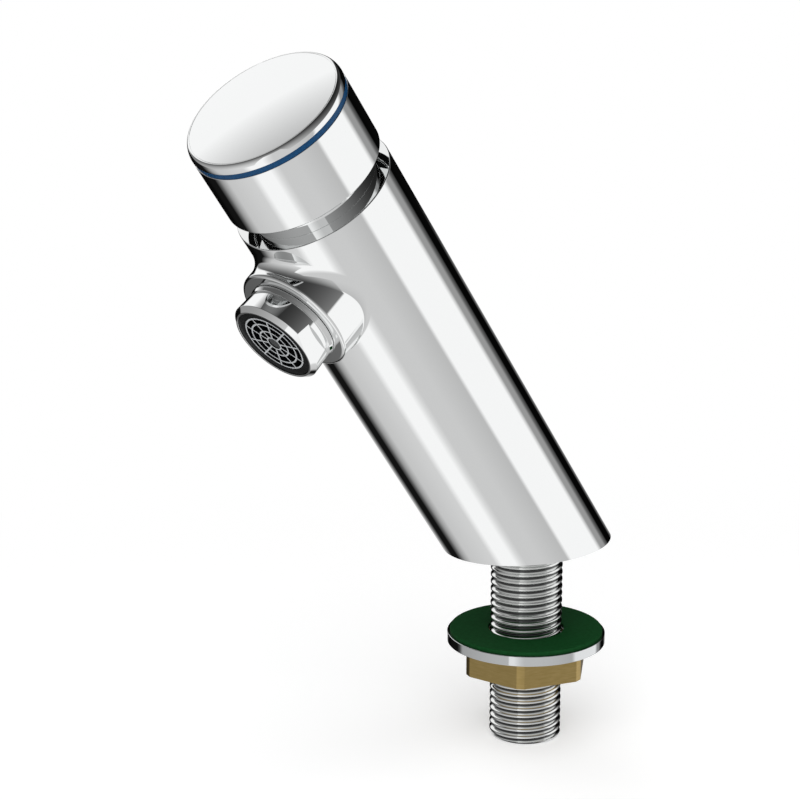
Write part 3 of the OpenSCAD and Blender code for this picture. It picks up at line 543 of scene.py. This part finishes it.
fillet_normals[0], fillet_normals[-1] = ray, skin_normal[0]
fillet = patch(fillet_points, fillet_normals)
print("fillet:", fillet_points.shape[0], "rows")

# %% [markdown]
# The boss is a straight side, a soft front edge and the socket that the collar screws
# into. Its front is turned round the spout's axis, at the same angles as the fillet, so
# that the two meet point by point.

# %% Boss
SOCKET_R, SOCKET_FLOOR, BOSS_STEPS = 12.05, 17.4, 8
spout_at = SPOUT * ALONG
line, lean = rounded([(BOSS_R, SOCKET_FLOOR), (BOSS_R, BOSS_REACH), (SOCKET_R, BOSS_REACH),
                      (SOCKET_R, SOCKET_FLOOR), (0, SOCKET_FLOOR)],
                     [0, BOSS_EDGE, 0.12, 0.3, 0], BOSS_STEPS, closed=False)
front = slice(BOSS_STEPS + 1, None)  # the first corner only gives a direction
boss_front = turned(line[front], lean[front], OUT, SIDE, a, spout_at)
rows = np.linspace(0, 1, 5)[:, None]
side_out = start_out + (BOSS_REACH - BOSS_EDGE - start_out) * rows
boss_side = patch(from_spout(BOSS_R * np.cos(a) + 0 * rows, BOSS_R * np.sin(a) + 0 * rows, side_out), ray)
print("boss:", len(rows) + len(line[front]), "rows")

# %% [markdown]
# The top face is flat round the sleeve, and inside it lies the chamber for the
# cartridge. The underside is level, with the shank's socket and a groove for the seal
# ring. All of it is turned, on the leaning axis or on the upright one.

# %% Rim and chamber
SLEEVE_HOLE_R, SLEEVE_HOLE_FLOOR = 16.95, 131.5
CHAMBER_R, CHAMBER_FLOOR = 14.5, 84
TUBE_R, TUBE_FLOOR, RIM_STEPS = 11, 66, 6
line, lean = rounded([(BODY_R, SLEEVE_HOLE_FLOOR), (BODY_R, RIM), (SLEEVE_HOLE_R, RIM),
                      (SLEEVE_HOLE_R, SLEEVE_HOLE_FLOOR), (CHAMBER_R, SLEEVE_HOLE_FLOOR),
                      (CHAMBER_R, CHAMBER_FLOOR), (TUBE_R, CHAMBER_FLOOR), (TUBE_R, TUBE_FLOOR),
                      (0, TUBE_FLOOR)],
                     [0, RIM_EDGE, 0.1] + [0.2] * 6, RIM_STEPS, closed=False)
from_rim = slice(RIM_STEPS + 1, None)  # the first corner only gives a direction
rim = turned(line[from_rim], lean[from_rim], ALONG, OUT, turns)
print("chamber from", CHAMBER_FLOOR, "to", RIM, "mm up the axis")

# %% Base
SHANK_HOLE_R, SHANK_HOLE_TOP = 10.53, 10
RING_IN, RING_OUT, RING_DEPTH, BASE_STEPS = 14.7, 17.3, 2.4, 4
line, lean = rounded([(0, SHANK_HOLE_TOP), (SHANK_HOLE_R, SHANK_HOLE_TOP), (SHANK_HOLE_R, 0), (RING_IN, 0),
                      (RING_IN, RING_DEPTH), (RING_OUT, RING_DEPTH), (RING_OUT, 0), (BODY_R, 0)],
                     [0, 0.2, 0.15, 0.15, 0.2, 0.2, 0.15, 0], BASE_STEPS, closed=False)
to_groove = slice(None, -BASE_STEPS - 1)  # the last corner only gives a direction
base_turned = turned(line[to_groove], lean[to_groove], UP, -BACK, turns)
cut = slice(turns.size + sides.size, 2 * turns.size + sides.size)  # the outline's lower edge
rows = np.linspace(0, 1, 5)[:, None, None]
base_face = patch(base_turned[0][-1] + (outside[0][-1][cut] - base_turned[0][-1]) * rows, -UP)
piece("body_shell", [outside, fillet, boss_side, boss_front, rim, base_turned, base_face],
      "tap", chrome, "tap_body")

# %% [markdown]
# ## Sleeve, cap and ring
# The sleeve is screwed into the body: a neck that shows, and above it a wider land that
# guides the cap. The cap is the push button, a skirt that slides over the sleeve, and a
# blue ring lies between it and its cover. All three are closed profiles, turned once.

# %% Sleeve, skirt and ring
def lathe(name, corners, radii, body, finish, stands_for, axis=ALONG, across=SIDE):
    """A ring-shaped piece: a closed profile with rounded corners, turned once."""
    line, lean = rounded(corners, radii)
    return piece(name, [turned(line, lean, axis, across)], body, finish, stands_for)


NECK_R, NECK_TOP, GUIDE_R, GUIDE_CHAMFER = 17.6, 145.4, 19.4, 0.6
SLEEVE_BORE, SLEEVE_FOOT, SLEEVE_TOP, FOOT_R = 15.6, 133.5, 152, 16.9
lathe("guide_sleeve_shell",
      [(NECK_R, RIM), (NECK_R, NECK_TOP), (GUIDE_R, NECK_TOP), (GUIDE_R, SLEEVE_TOP - GUIDE_CHAMFER),
       (GUIDE_R - GUIDE_CHAMFER, SLEEVE_TOP), (SLEEVE_BORE, SLEEVE_TOP), (SLEEVE_BORE, SLEEVE_FOOT),
       (FOOT_R, SLEEVE_FOOT), (FOOT_R, RIM)],
      0.1, "tap", chrome, "guide_sleeve")

CAP_R, CAP_BORE, SKIRT, SKIRT_CHAMFER = 21.7, 19.46, 144.7, 0.5
RING, COVER, COVER_SEAT_R = 163.3, 164.85, 18.95
SPINDLE_HOLE, HUB_OUT, HUB_LOW, CAP_FLOOR, CAP_FLOOR_TOP = 2.95, 6.5, 150.35, 157.85, 160.35
lathe("cap_shell",
      [(CAP_R - SKIRT_CHAMFER, SKIRT), (CAP_R, SKIRT + SKIRT_CHAMFER), (CAP_R, RING), (COVER_SEAT_R, RING),
       (COVER_SEAT_R, CAP_FLOOR_TOP), (SPINDLE_HOLE, CAP_FLOOR_TOP), (SPINDLE_HOLE, HUB_LOW),
       (HUB_OUT, HUB_LOW), (HUB_OUT, CAP_FLOOR), (CAP_BORE, CAP_FLOOR), (CAP_BORE, SKIRT)],
      [0.15, 0.2, 0.12, 0.1, 0.3, 0.1, 0.1, 0.2, 0.4, 0.3, 0.1], "push_cap", chrome, "cap_skirt")

BAND_R, BAND_BORE = 21.5, 19
lathe("blue_band", [(BAND_R, RING), (BAND_R, COVER), (BAND_BORE, COVER), (BAND_BORE, RING)],
      [0.06, 0.06, 0.1, 0.1], "push_cap", blue, "marker_ring")

# %% [markdown]
# The cover is what the hand presses: spun and polished, with a rounded shoulder and a
# shallow dome. The shoulder is a quarter of an ellipse and the dome a paraboloid, with a
# hairline groove where they meet, because a mirror shows at once where one formula ends.

# %% The cover's shoulder and inside
CREASE, CREASE_R, SHOULDER_W, SHOULDER_H = 167.4, 20.45, 1.25, 2.55
turn = np.linspace(0, np.pi / 2, 25)
shoulder = np.stack([CREASE_R + SHOULDER_W * np.cos(turn), COVER + SHOULDER_H * np.sin(turn)], -1)
shoulder_lean = np.stack([np.cos(turn) / SHOULDER_W, np.sin(turn) / SHOULDER_H], -1)

COVER_WALL_IN, COVER_WALL_OUT, CEILING, CEILING_SLOPE, COVER_STEPS = 16.9, 18.9, 166.2, 2.0, 5
under, under_lean = rounded([(0, CEILING), (COVER_WALL_IN - CEILING_SLOPE, CEILING),
                             (COVER_WALL_IN, CEILING - CEILING_SLOPE), (COVER_WALL_IN, CAP_FLOOR_TOP),
                             (COVER_WALL_OUT, CAP_FLOOR_TOP), (COVER_WALL_OUT, COVER),
                             (CAP_R, COVER), (CAP_R, CREASE)],
                            [0, 0.5, 0.5, 0.2, 0.2, 0.2, 0.12, 0], COVER_STEPS, closed=False)

# The lower edge is rounded off, and runs into the shoulder at its third row
JOIN = 2
under[-COVER_STEPS - 1:] = shoulder[JOIN]
print("shoulder starts at", shoulder[JOIN].round(3), "mm")

# %% The cover's dome
RISE, GROOVE_WIDTH, GROOVE_FOOT, GROOVE_DEPTH = 1.0, 0.16, 0.07, 0.1
dome_r = (CREASE_R - GROOVE_WIDTH) * np.linspace(1, 0, 41)
dome = np.stack([dome_r, CREASE + RISE * (1 - (dome_r / CREASE_R) ** 2)], -1)
dome_lean = np.stack([2 * RISE * dome_r / CREASE_R ** 2, np.ones(dome_r.size)], -1)
groove, groove_lean = rounded([shoulder[-1], (CREASE_R - GROOVE_FOOT, CREASE - GROOVE_DEPTH), dome[0]],
                              [0, 0.03, 0], 3, closed=False)
piece("cover_shell",
      [turned(under, under_lean), turned(shoulder[JOIN:], shoulder_lean[JOIN:]), turned(groove, groove_lean),
       turned(dome, dome_lean)],
      "push_cap", chrome, "cap_cover")

# %% [markdown]
# ## The aerator
# A collar screws into the boss. It flares a little towards its mouth, and two flats let
# a wrench hold it. On the flats the collar's circle is cut by a straight line, so each
# row is made of two arcs and two straight parts, whose ends move with the flare.

# %% Collar
def add_row(line, lean, column, value, first, last):
    """A profile with one row more, where a column reaches a value between two of its
    rows: the new row lies on the straight line between its neighbours."""
    way = np.sign(line[last, column] - line[first, column])
    at = first + np.interp(way * value, way * line[first:last + 1, column], np.arange(last + 1 - first))
    k = int(at) + 1
    line, lean = (np.insert(v, k, v[k - 1] + (v[k] - v[k - 1]) * (at - k + 1), axis=0) for v in (line, lean))
    return line, lean, k


FLAT, FLAT_START, MOUTH, THREAD_R, THREAD_FOOT, THREAD_TOP = 11.7, 28.9, 34.2, 12.0, 18.9, 25.7
FLANGE_R, FLANGE_END, WAIST_R, WAIST_AT, FLARE_R, FLARE_END = 12.8, 26.2, 12.45, 27.1, 12.85, 33
LIP_OUT, LIP_IN, WEB_SEAT, COLLAR_BORE, PER_CORNER = 11.6, 11.1, 32.6, 9.7, 6
line, lean = rounded([(THREAD_R, THREAD_TOP), (FLANGE_R, THREAD_TOP), (FLANGE_R, FLANGE_END),
                      (WAIST_R, WAIST_AT), (FLARE_R, FLARE_END), (LIP_OUT, MOUTH), (LIP_IN, MOUTH),
                      (LIP_IN, WEB_SEAT), (COLLAR_BORE, WEB_SEAT), (COLLAR_BORE, THREAD_FOOT),
                      (THREAD_R, THREAD_FOOT), (THREAD_R, THREAD_TOP)],
                     [0, 0.12, 0.2, 0.3, 0.25, 0.15, 0.1, 0.1, 0.1, 0.1, 0.1, 0],
                     PER_CORNER - 1, closed=False)
line, lean, start = add_row(line, lean, 1, FLAT_START, 4 * PER_CORNER - 1, 4 * PER_CORNER)
line, lean, end = add_row(line, lean, 0, FLAT, 5 * PER_CORNER, 5 * PER_CORNER + 1)
round_again = 6 * PER_CORNER + 1
print("the flat runs from", line[start].round(3), "to", line[end].round(3))

# %% [markdown]
# Above the flats the collar is round, with extra lines where a flat will begin. Below
# them each row is an arc, a straight part, an arc and a straight part. The mouth and the
# inside are round again, and on the hidden thread the lines move back to where they
# began, so that the net closes.

# %% The collar's round part
rows, tilt = line[start:round_again], lean[start:round_again]
flat = np.arange(len(rows)) < end - start
half = np.where(flat, np.sqrt(np.maximum(rows[:, 0] ** 2 - FLAT ** 2, 0)), 0.0)
u = np.linspace(-1, 1, 25)
arc = np.linspace(0, np.pi, 73)
half_turn = np.arctan2(half[0] * u, np.sqrt(rows[0, 0] ** 2 - (half[0] * u) ** 2))
first = half_turn[-1] + (1 - 2 * half_turn[-1] / np.pi) * arc
ring = np.concatenate([half_turn, first, half_turn + np.pi, first + np.pi])
SAME_ANGLE = 1e-9  # where two parts meet, their shared angle counts once
own = np.concatenate([[True], np.diff(ring) > SAME_ANGLE])
gathered = np.concatenate([0 * half_turn, arc, 0 * half_turn + np.pi, arc + np.pi])[own]
ring = ring[own]
collar = [turned(line[:start + 1], lean[:start + 1], OUT, SIDE, ring, spout_at)]
print("lines round the collar:", ring.size)

# %% The collar's flats, mouth and thread
edge = np.arctan2(half, np.minimum(rows[:, 0], FLAT))[:, None]
for side in (1, -1):
    angles = edge + (1 - 2 * edge / np.pi) * arc
    x, y = rows[:, :1] * np.cos(angles), side * rows[:, :1] * np.sin(angles)
    spoke = np.cos(angles)[..., None] * SIDE + side * np.sin(angles)[..., None] * ALONG
    collar.append(patch(from_spout(x, y, rows[:, 1:] + 0 * x),
                        tilt[:, :1, None] * spoke + tilt[:, 1:, None] * OUT))
    y = half[:end - start + 1, None] * u
    out = rows[:end - start + 1, 1:] + 0 * y
    collar.append(patch(from_spout(side * FLAT + 0 * y, y, out), side * SIDE))
    ledge_x = side * np.stack([np.sqrt(rows[0, 0] ** 2 - y[0] ** 2), np.full(u.size, FLAT)])
    ledge = from_spout(ledge_x, np.stack([y[0], y[0]]), np.full(ledge_x.shape, FLAT_START))
    collar.append(patch(ledge, OUT))
inside = slice(round_again - 1, -PER_CORNER)
whole_turn = np.concatenate([arc, arc[1:] + np.pi])
collar.append(turned(line[inside], lean[inside], OUT, SIDE, whole_turn, spout_at))
share = np.linspace(0, 1, 13)[:, None]
angles = gathered + (ring - gathered) * share
thread_foot = line[-PER_CORNER - 1, 1]
out = thread_foot + (THREAD_TOP - thread_foot) * share + 0 * angles
spoke = np.cos(angles)[..., None] * SIDE + np.sin(angles)[..., None] * ALONG
collar.append(patch(from_spout(THREAD_R * np.cos(angles), THREAD_R * np.sin(angles), out), spoke))
piece("collar_shell", collar, "tap", chrome, "aerator_housing")

# %% [markdown]
# ## The threaded shank
# A screw thread is a ridge that climbs one pitch in each turn, so the surface is a wave
# in height that shifts with the angle. Each column of the grid starts a little higher
# than the one before, and after a full turn it meets the column one ridge further up.

# %% Thread
PITCH, SHANK_BORE, SHANK_END, SHANK_TOP = 2.15, 7.0, -59.5, 8.5
THREAD_DEPTH, CREST_SHARE, PER_PITCH, RIDGE_END, RUN_OUT = 1.0, 3.0, 24, 7.5, 1.5
END_R, END_SLOPE, MOUTH_R, MOUTH_DEPTH = 9.3, 1.2, 8.25, 1.2
angles = np.linspace(0, 2 * np.pi, 97)
count = int((SHANK_TOP - SHANK_END) / PITCH + 3) * PER_PITCH + 1
w = np.arange(count)[:, None] / PER_PITCH
z = np.clip(SHANK_END + (w - 1 + angles / (2 * np.pi)) * PITCH, SHANK_END, SHANK_TOP)
w = (z - SHANK_END) / PITCH - angles / (2 * np.pi)

# The ridge: one less the cosine to a power leaves a broad round crest and a narrow groove
cosine, sine = np.cos(np.pi * w), np.sin(np.pi * w)
ridge = 1 - np.abs(cosine) ** CREST_SHARE
steep = np.pi * CREST_SHARE * np.abs(cosine) ** (CREST_SHARE - 1) * np.sign(cosine) * sine
fade = np.clip((RIDGE_END - z) / RUN_OUT, 0, 1)
r = SHANK_R - THREAD_DEPTH * fade * (1 - ridge)
rise = THREAD_DEPTH * fade * steep

# The end of the shank is chamfered, and the thread stops where the chamfer cuts it
chamfer = END_R + (z - SHANK_END) * END_SLOPE
rise = np.where(chamfer < r, 0, rise)
r, tilt = np.minimum(r, chamfer), np.where(chamfer < r, END_SLOPE, 0)
ray = np.cos(angles)[:, None] * BACK - np.sin(angles)[:, None] * SIDE
tangent = -np.sin(angles)[:, None] * BACK - np.cos(angles)[:, None] * SIDE
thread = patch(r[..., None] * ray + z[..., None] * UP,
               ray + (rise / (2 * np.pi * r))[..., None] * tangent - (rise / PITCH + tilt)[..., None] * UP)
print("thread:", round((RIDGE_END - SHANK_END) / PITCH, 1), "turns")

# %% The shank's bore
BORE_STEPS = 4
line, lean = rounded([(SHANK_R, SHANK_TOP), (SHANK_BORE, SHANK_TOP), (SHANK_BORE, SHANK_END + MOUTH_DEPTH),
                      (MOUTH_R, SHANK_END + MOUTH_DEPTH), (MOUTH_R, SHANK_END), (END_R, SHANK_END)],
                     [0, 0.3, 0.1, 0.1, 0.2, 0], BORE_STEPS, closed=False)
once = slice(BORE_STEPS, -BORE_STEPS)  # each end's corner counted once
bore = turned(line[once], lean[once], UP, BACK, angles)
piece("threaded_shank_shell", [thread, bore], "tap", nickel, "threaded_shank")

# %% [markdown]
# ## What clamps the tap
# A fibre gasket and a steel washer go under the basin, and a hexagon nut draws them up.
# Gasket and washer are plain rings with softened edges, turned on the upright axis.

# %% Gasket and washer
HOLE_R, GASKET_R, WASHER_R = 11.03, 22.3, 23.05
Z_GASKET, Z_WASHER, Z_NUT, NUT_LOW = -26.5, -27.6, -30.5, -39.2
lathe("gasket_ring", [(HOLE_R, Z_WASHER), (GASKET_R, Z_WASHER), (GASKET_R, Z_GASKET), (HOLE_R, Z_GASKET)],
      [0.1, 0.1, 0.5, 0.15], "clamp_set", gasket_green, "base_gasket", UP, -BACK)
lathe("washer_ring", [(HOLE_R, Z_NUT), (WASHER_R, Z_NUT), (WASHER_R, Z_WASHER), (HOLE_R, Z_WASHER)],
      [0.2, 0.15, 0.15, 0.2], "clamp_set", steel, "clamp_washer", UP, -BACK)

# %% [markdown]
# The nut is sawn from hexagon bar and turned, so its corners are short arcs. Its outline
# is the nearer of a flat and the turned circle, and the same outline, drawn in by a
# quarter circle at both ends, gives the nut its eased edges.

# %% Nut
HALF_NUT, CORNER_R, NUT_BORE, NUT_TURN, EASE = 16.65, 18.6, 10.54, math.radians(37.4), 0.25


def spoke_at(t):
    """The level direction at angle t from the nut's first flat: cos and sin of t plus the
    turn that the nut stands at."""
    return np.cos(t + NUT_TURN)[..., None] * SIDE + np.sin(t + NUT_TURN)[..., None] * BACK


flat_turn = math.acos(HALF_NUT / CORNER_R)
on_flat = np.linspace(-flat_turn, flat_turn, 9)
on_arc = np.linspace(flat_turn, np.pi / 3 - flat_turn, 6)
sixths = np.arange(6)[:, None] * np.pi / 3
theta = np.append((np.concatenate([on_flat, on_arc]) + sixths).ravel(), 2 * np.pi - flat_turn)
facing = np.append((np.concatenate([0 * on_flat, on_arc]) + sixths).ravel(), 2 * np.pi)
outline_r = np.minimum(HALF_NUT / np.cos((theta + np.pi / 6) % (np.pi / 3) - np.pi / 6), CORNER_R)
bend = np.linspace(0, np.pi / 2, 6)[:, None]
side_r = outline_r - EASE * (1 - np.concatenate([np.sin(bend), np.cos(bend)]))
z = np.concatenate([Z_NUT - EASE + EASE * np.cos(bend), NUT_LOW + EASE - EASE * np.sin(bend)]) + 0 * theta
up = np.concatenate([np.cos(bend), -np.sin(bend)])
hex_side = patch(side_r[..., None] * spoke_at(theta) + z[..., None] * UP,
                 np.sqrt(1 - up ** 2)[..., None] * spoke_at(facing) + up[..., None] * UP)
span = np.linspace(0, 1, 4)[:, None]
hex_faces = []
for row, way in ((0, 1), (-1, -1)):
    r = NUT_BORE + (side_r[row] - NUT_BORE) * span
    hex_faces.append(patch(r[..., None] * spoke_at(theta) + z[row][:, None] * UP, way * UP))
bore_up = Z_NUT + (NUT_LOW - Z_NUT) * np.linspace(0, 1, 5)[:, None]
hex_bore = patch(NUT_BORE * spoke_at(theta) + bore_up[..., None] * UP, -spoke_at(theta))
piece("hexagon_nut", [hex_side, *hex_faces, hex_bore], "nut", brass, "fixing_nut")

# %% [markdown]
# ## The return spring
# A compression spring is one wire wound on a helix, with its end turns closed so that it
# stands square. The climb is slow at both ends and even between them. When the cap is
# pressed, the spring grows shorter along the tap's axis.

# %% Spring
COIL_R, WIRE_R, SPRING_LOW, SPRING_HIGH, COILS, PER_COIL = 7.0, 0.6, 101.5, 119.5, 7.0, 72
CLOSED_TURNS, SLOW_SHARE, END_ROOM = 0.8, 0.13, 0.65
t = np.linspace(0, 1, int(COILS * PER_COIL) + 1)
free = np.clip((t * COILS - CLOSED_TURNS) / (COILS - 2 * CLOSED_TURNS), 0, 1)
climb = SLOW_SHARE * t + (1 - SLOW_SHARE) * free
middle = SPRING_LOW + END_ROOM + (SPRING_HIGH - SPRING_LOW - 2 * END_ROOM) * climb
turn = 2 * np.pi * COILS * t
spoke = np.cos(turn)[:, None] * SIDE + np.sin(turn)[:, None] * OUT
wire = np.linspace(0, 2 * np.pi, 17)
normal = np.cos(wire)[:, None] * spoke[:, None] + np.sin(wire)[:, None] * ALONG
centre = COIL_R * spoke + middle[:, None] * ALONG
tube = patch(centre[:, None] + WIRE_R * normal, normal)
edge_to_middle = np.array([1.0, 0.0])[:, None, None]
caps = [patch(centre[k] + WIRE_R * normal[k] * edge_to_middle, way * np.cross(ALONG, spoke[k]))
        for k, way in ((0, 1), (-1, -1))]
spring = piece("coil_spring", [tube, *caps], "tap", steel, "return_spring")
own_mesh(spring)

# %% [markdown]
# ## Pieces kept from the CAD model
# The inner pieces are simple turned shapes that the CAD model already holds exactly, so
# they only need their finish.

# %% Finishes of the inner pieces
inner = {
    brass: "cartridge_head valve_seat spindle valve_screw cap_nut timing_screw",
    white_pom: "cartridge_housing piston valve_disc inlet_strainer",
    rubber: "upper_o_ring lower_o_ring gland_o_ring piston_lip_seal valve_washer "
            "aerator_seal shank_seal base_seal_ring",
    grille_grey: "aerator_web",
    plug_black: "aerator_insert",
    regulator_green: "flow_regulator",
    steel: "aerator_sieve",
}
for finish, names in inner.items():
    for name in names.split():
        mesh = bpy.data.objects[name].data
        mesh.materials.clear()
        mesh.materials.append(finish)
print(sum(len(names.split()) for names in inner.values()), "inner pieces")

# %% [markdown]
# ## The light tent
# Polished chrome has almost no colour of its own: what it shows is the room. So the world
# is a photographer's tent of white, grey and black cards round the tap. Seen from the
# tap's axis, a card spans some degrees from the spout's direction towards its right.

# %% The cards round the tap
CHROME_SHARE = 0.86


def tent_light(level):
    """The light of a card that the chrome shows at a screen level from 0 to 1: the level
    in linear light, over the share of light that chrome gives back."""
    return float(linear("#" + 3 * f"{round(255 * level):02X}")[0] / CHROME_SHARE)


cards = [  # from, to, screen level as the chrome shows it
    (-180, -178, 0.30), (-174, -152, 0.02),  # black card behind, to the left
    (-137, -137, 0.45), (-128, -128, 0.75), (-120, -120, 0.86),  # lit side wall
    (-108, -108, 0.74), (-92, -92, 0.40),
    (-84, -67, 0.07),  # black card on the left
    (-60, -60, 0.38), (-54, -54, 0.58), (-42, -42, 0.765), (-4, -4, 0.815),  # grey wall in front
    (5, 24, 0.965),  # white card in front, right of the spout
    (32, 32, 0.85), (38, 60, 0.79), (93, 96, 0.735),  # grey wall on the right
    (101, 153, 0.965),  # white card behind, to the right
    (158, 158, 0.8), (162, 172, 0.59), (178, 180, 0.35),  # grey gap between the cards
]
world = bpy.data.worlds.new("light_tent")
bpy.context.scene.world = world
world.use_nodes = True
tree = world.node_tree
direction = node(tree, "TexCoord").outputs["Generated"]
side, out, along = (node(tree, "VectorMath", operation="DOT_PRODUCT",
                         n0=direction, n1=tuple(axis)).outputs["Value"] for axis in (SIDE, OUT, ALONG))
round_tap = node(tree, "Math", operation="ARCTAN2", n0=side, n1=out)
turned_to = node(tree, "MapRange", Value=round_tap.outputs[0], From_Min=-math.pi, From_Max=math.pi)
stops = sorted({(0.5 + at / 360, tent_light(level)) for start, end, level in cards for at in (start, end)})
walls = node(tree, "ValToRGB", stops=stops, n0=turned_to.outputs[0])
print(len(stops), "stops round the tap")

# %% [markdown]
# Overhead the tent is middle grey at the horizon and darkens evenly towards the top. The
# cards end a little below the plane square to the tap's axis, well above what its
# cylinders mirror to the camera. Only in front on the right, from 13 to 60 degrees, do
# they reach higher, where the cap's rounded shoulder mirrors them.

# %% The tent's roof
CARD_TOP, FRONT_TOP, SOFT = -0.045, 0.66, 0.015  # heights as parts of one along the tap's axis
card_tops = [(13, CARD_TOP), (22, FRONT_TOP), (50, FRONT_TOP), (60, CARD_TOP)]
top_stops = [(0.5 + at / 360, 0.5 + top_at / 2) for at, top_at in card_tops]
top_grey = node(tree, "ValToRGB", stops=top_stops, n0=turned_to.outputs[0])
above = node(tree, "Math", operation="MULTIPLY_ADD", n0=along, n1=0.5, n2=0.5)
over_card = node(tree, "Math", operation="SUBTRACT", n0=above.outputs[0], n1=top_grey.outputs[0])
fade = node(tree, "MapRange", Value=over_card.outputs[0], From_Min=-SOFT, From_Max=SOFT)
HORIZON, DARKER_UP, DARKER_BACK, LIGHTER_RIGHT, GAMMA = 0.535, 0.37, 0.09, 0.045, 2.2
height = node(tree, "VectorMath", operation="DOT_PRODUCT",
              n0=direction, n1=(LIGHTER_RIGHT, -DARKER_BACK, -DARKER_UP))
grey = node(tree, "Math", operation="ADD", use_clamp=True, n0=height.outputs["Value"], n1=HORIZON)
power = node(tree, "Math", operation="POWER", n0=grey.outputs[0], n1=GAMMA)
roof = node(tree, "Math", operation="MULTIPLY", n0=power.outputs[0], n1=1 / CHROME_SHARE)
room = node(tree, "MixRGB", n0=fade.outputs[0], n1=walls.outputs[0], n2=roof.outputs[0])
print("screen level at the horizon:", HORIZON)

# %% [markdown]
# Two cards hang behind on the left. A dark one low down gives the washer, the thread and
# the cap the black ends that they have in a photographer's tent, and a white one above it
# lights the left of the dome. Each is given by its angles round the tap and its heights
# along the axis. The camera itself sees plain white instead of the tent.

# %% Two more cards, and the white background
def card_behind(under, angles, heights, level):
    """Mixes a card into what lies under it: it fades in between the first two of its
    angles or heights, and out between the last two."""
    full = (0.0, 1.0, 1.0, 0.0)
    sideways = [(0.5 + at / 360, share) for at, share in zip(angles, full)]
    upwards = [(0.5 + at / 2, share) for at, share in zip(heights, full)]
    beside = node(tree, "ValToRGB", stops=sideways, n0=turned_to.outputs[0])
    upright = node(tree, "ValToRGB", stops=upwards, n0=above.outputs[0])
    mask = node(tree, "Math", operation="MULTIPLY", n0=beside.outputs[0], n1=upright.outputs[0])
    colour = 3 * (tent_light(level),) + (1.0,)
    return node(tree, "MixRGB", n0=mask.outputs[0], n1=under.outputs[0], n2=colour)


WHITE = (1.0, 1.0, 1.0, 1.0)
tent = card_behind(room, (-170, -160, -86, -80), (-0.58, -0.55, -0.08, 0.0), 0.03)
tent = card_behind(tent, (-150, -143, -99, -90), (-0.08, 0.0, 0.5, 0.85), 0.965)
to_camera = node(tree, "LightPath").outputs["Is Camera Ray"]
seen = node(tree, "MixRGB", n0=to_camera, n1=tent.outputs[0], n2=WHITE)
tree.links.new(seen.outputs[0], tree.nodes["Background"].inputs["Color"])
print("tent:", len(tree.nodes), "nodes")

# %% [markdown]
# Two large soft lamps, one over the tap and one in front, bring the plain level at which
# a colour shows as it is written. Metal doesn't mirror them: it has the tent.

# %% Lamps
LAMP_SIZE, AIM = 1.6, Vector((0, 0, 0.05))
soft_boxes = (("soft_box_above", (0.3, -0.3, 1.4), 15.5), ("soft_box_front", (0.9, -1.1, 0.6), 12.0))
for name, spot, watts in soft_boxes:
    lamp = bpy.data.objects.new(name, bpy.data.lights.new(name, "AREA"))
    bpy.context.scene.collection.objects.link(lamp)
    lamp.data.shape, lamp.data.size, lamp.data.size_y = "RECTANGLE", LAMP_SIZE, LAMP_SIZE
    lamp.data.energy = watts
    lamp.location = spot
    lamp.rotation_euler = (AIM - lamp.location).to_track_quat("-Z", "Y").to_euler()
    lamp.visible_glossy = False
    print(name, watts, "W")

# %% [markdown]
# The floor is white studio paper: matt, so that it keeps the tap's soft shadow and shows
# no gloss. For the camera it shines a little, and further from the tap it goes over into
# plain white, so that it has no edge against the background. Metal doesn't mirror it.

# %% Floor
PAPER_HALF, SHADOW_END, WHITE_FROM, PAPER_SHINE = 8.0, 0.09, 0.3, 0.35
floor = bpy.data.objects.new("studio_floor", bpy.data.meshes.new("studio_floor"))
paper_corners = [(x * PAPER_HALF, y * PAPER_HALF, SHANK_END * MM)
                 for x, y in ((-1, -1), (1, -1), (1, 1), (-1, 1))]
floor.data.from_pydata(paper_corners, [], [(0, 1, 2, 3)])
bpy.context.scene.collection.objects.link(floor)
paper, tree, shader, place = material("white_studio_paper", Base_Color=linear("#F0F0F0"), Roughness=0.95)
to_camera = node(tree, "LightPath").outputs["Is Camera Ray"]
shine = node(tree, "Math", operation="MULTIPLY", n0=to_camera, n1=PAPER_SHINE)
shader.inputs["Emission Color"].default_value = WHITE
tree.links.new(shine.outputs[0], shader.inputs["Emission Strength"])
away = node(tree, "VectorMath", operation="LENGTH", n0=place)
far = node(tree, "MapRange", interpolation_type="SMOOTHSTEP",
           Value=away.outputs["Value"], From_Min=SHADOW_END, From_Max=WHITE_FROM)
for_camera = node(tree, "Math", operation="MULTIPLY", n0=far.outputs[0], n1=to_camera)
white = node(tree, "Emission", Color=WHITE)
blend = node(tree, "MixShader", n0=for_camera.outputs[0], n1=shader.outputs[0], n2=white.outputs[0])
tree.links.new(blend.outputs[0], tree.nodes["Material Output"].inputs["Surface"])
floor.data.materials.append(paper)
floor.visible_glossy = False
floor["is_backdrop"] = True
bpy.context.scene.view_settings.view_transform = "Standard"
print("floor", 2 * PAPER_HALF, "m wide")

# %% Finish
low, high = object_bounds()
print("dressed tap in mm:", [round(1000 * v, 1) for v in (*low, *high)])
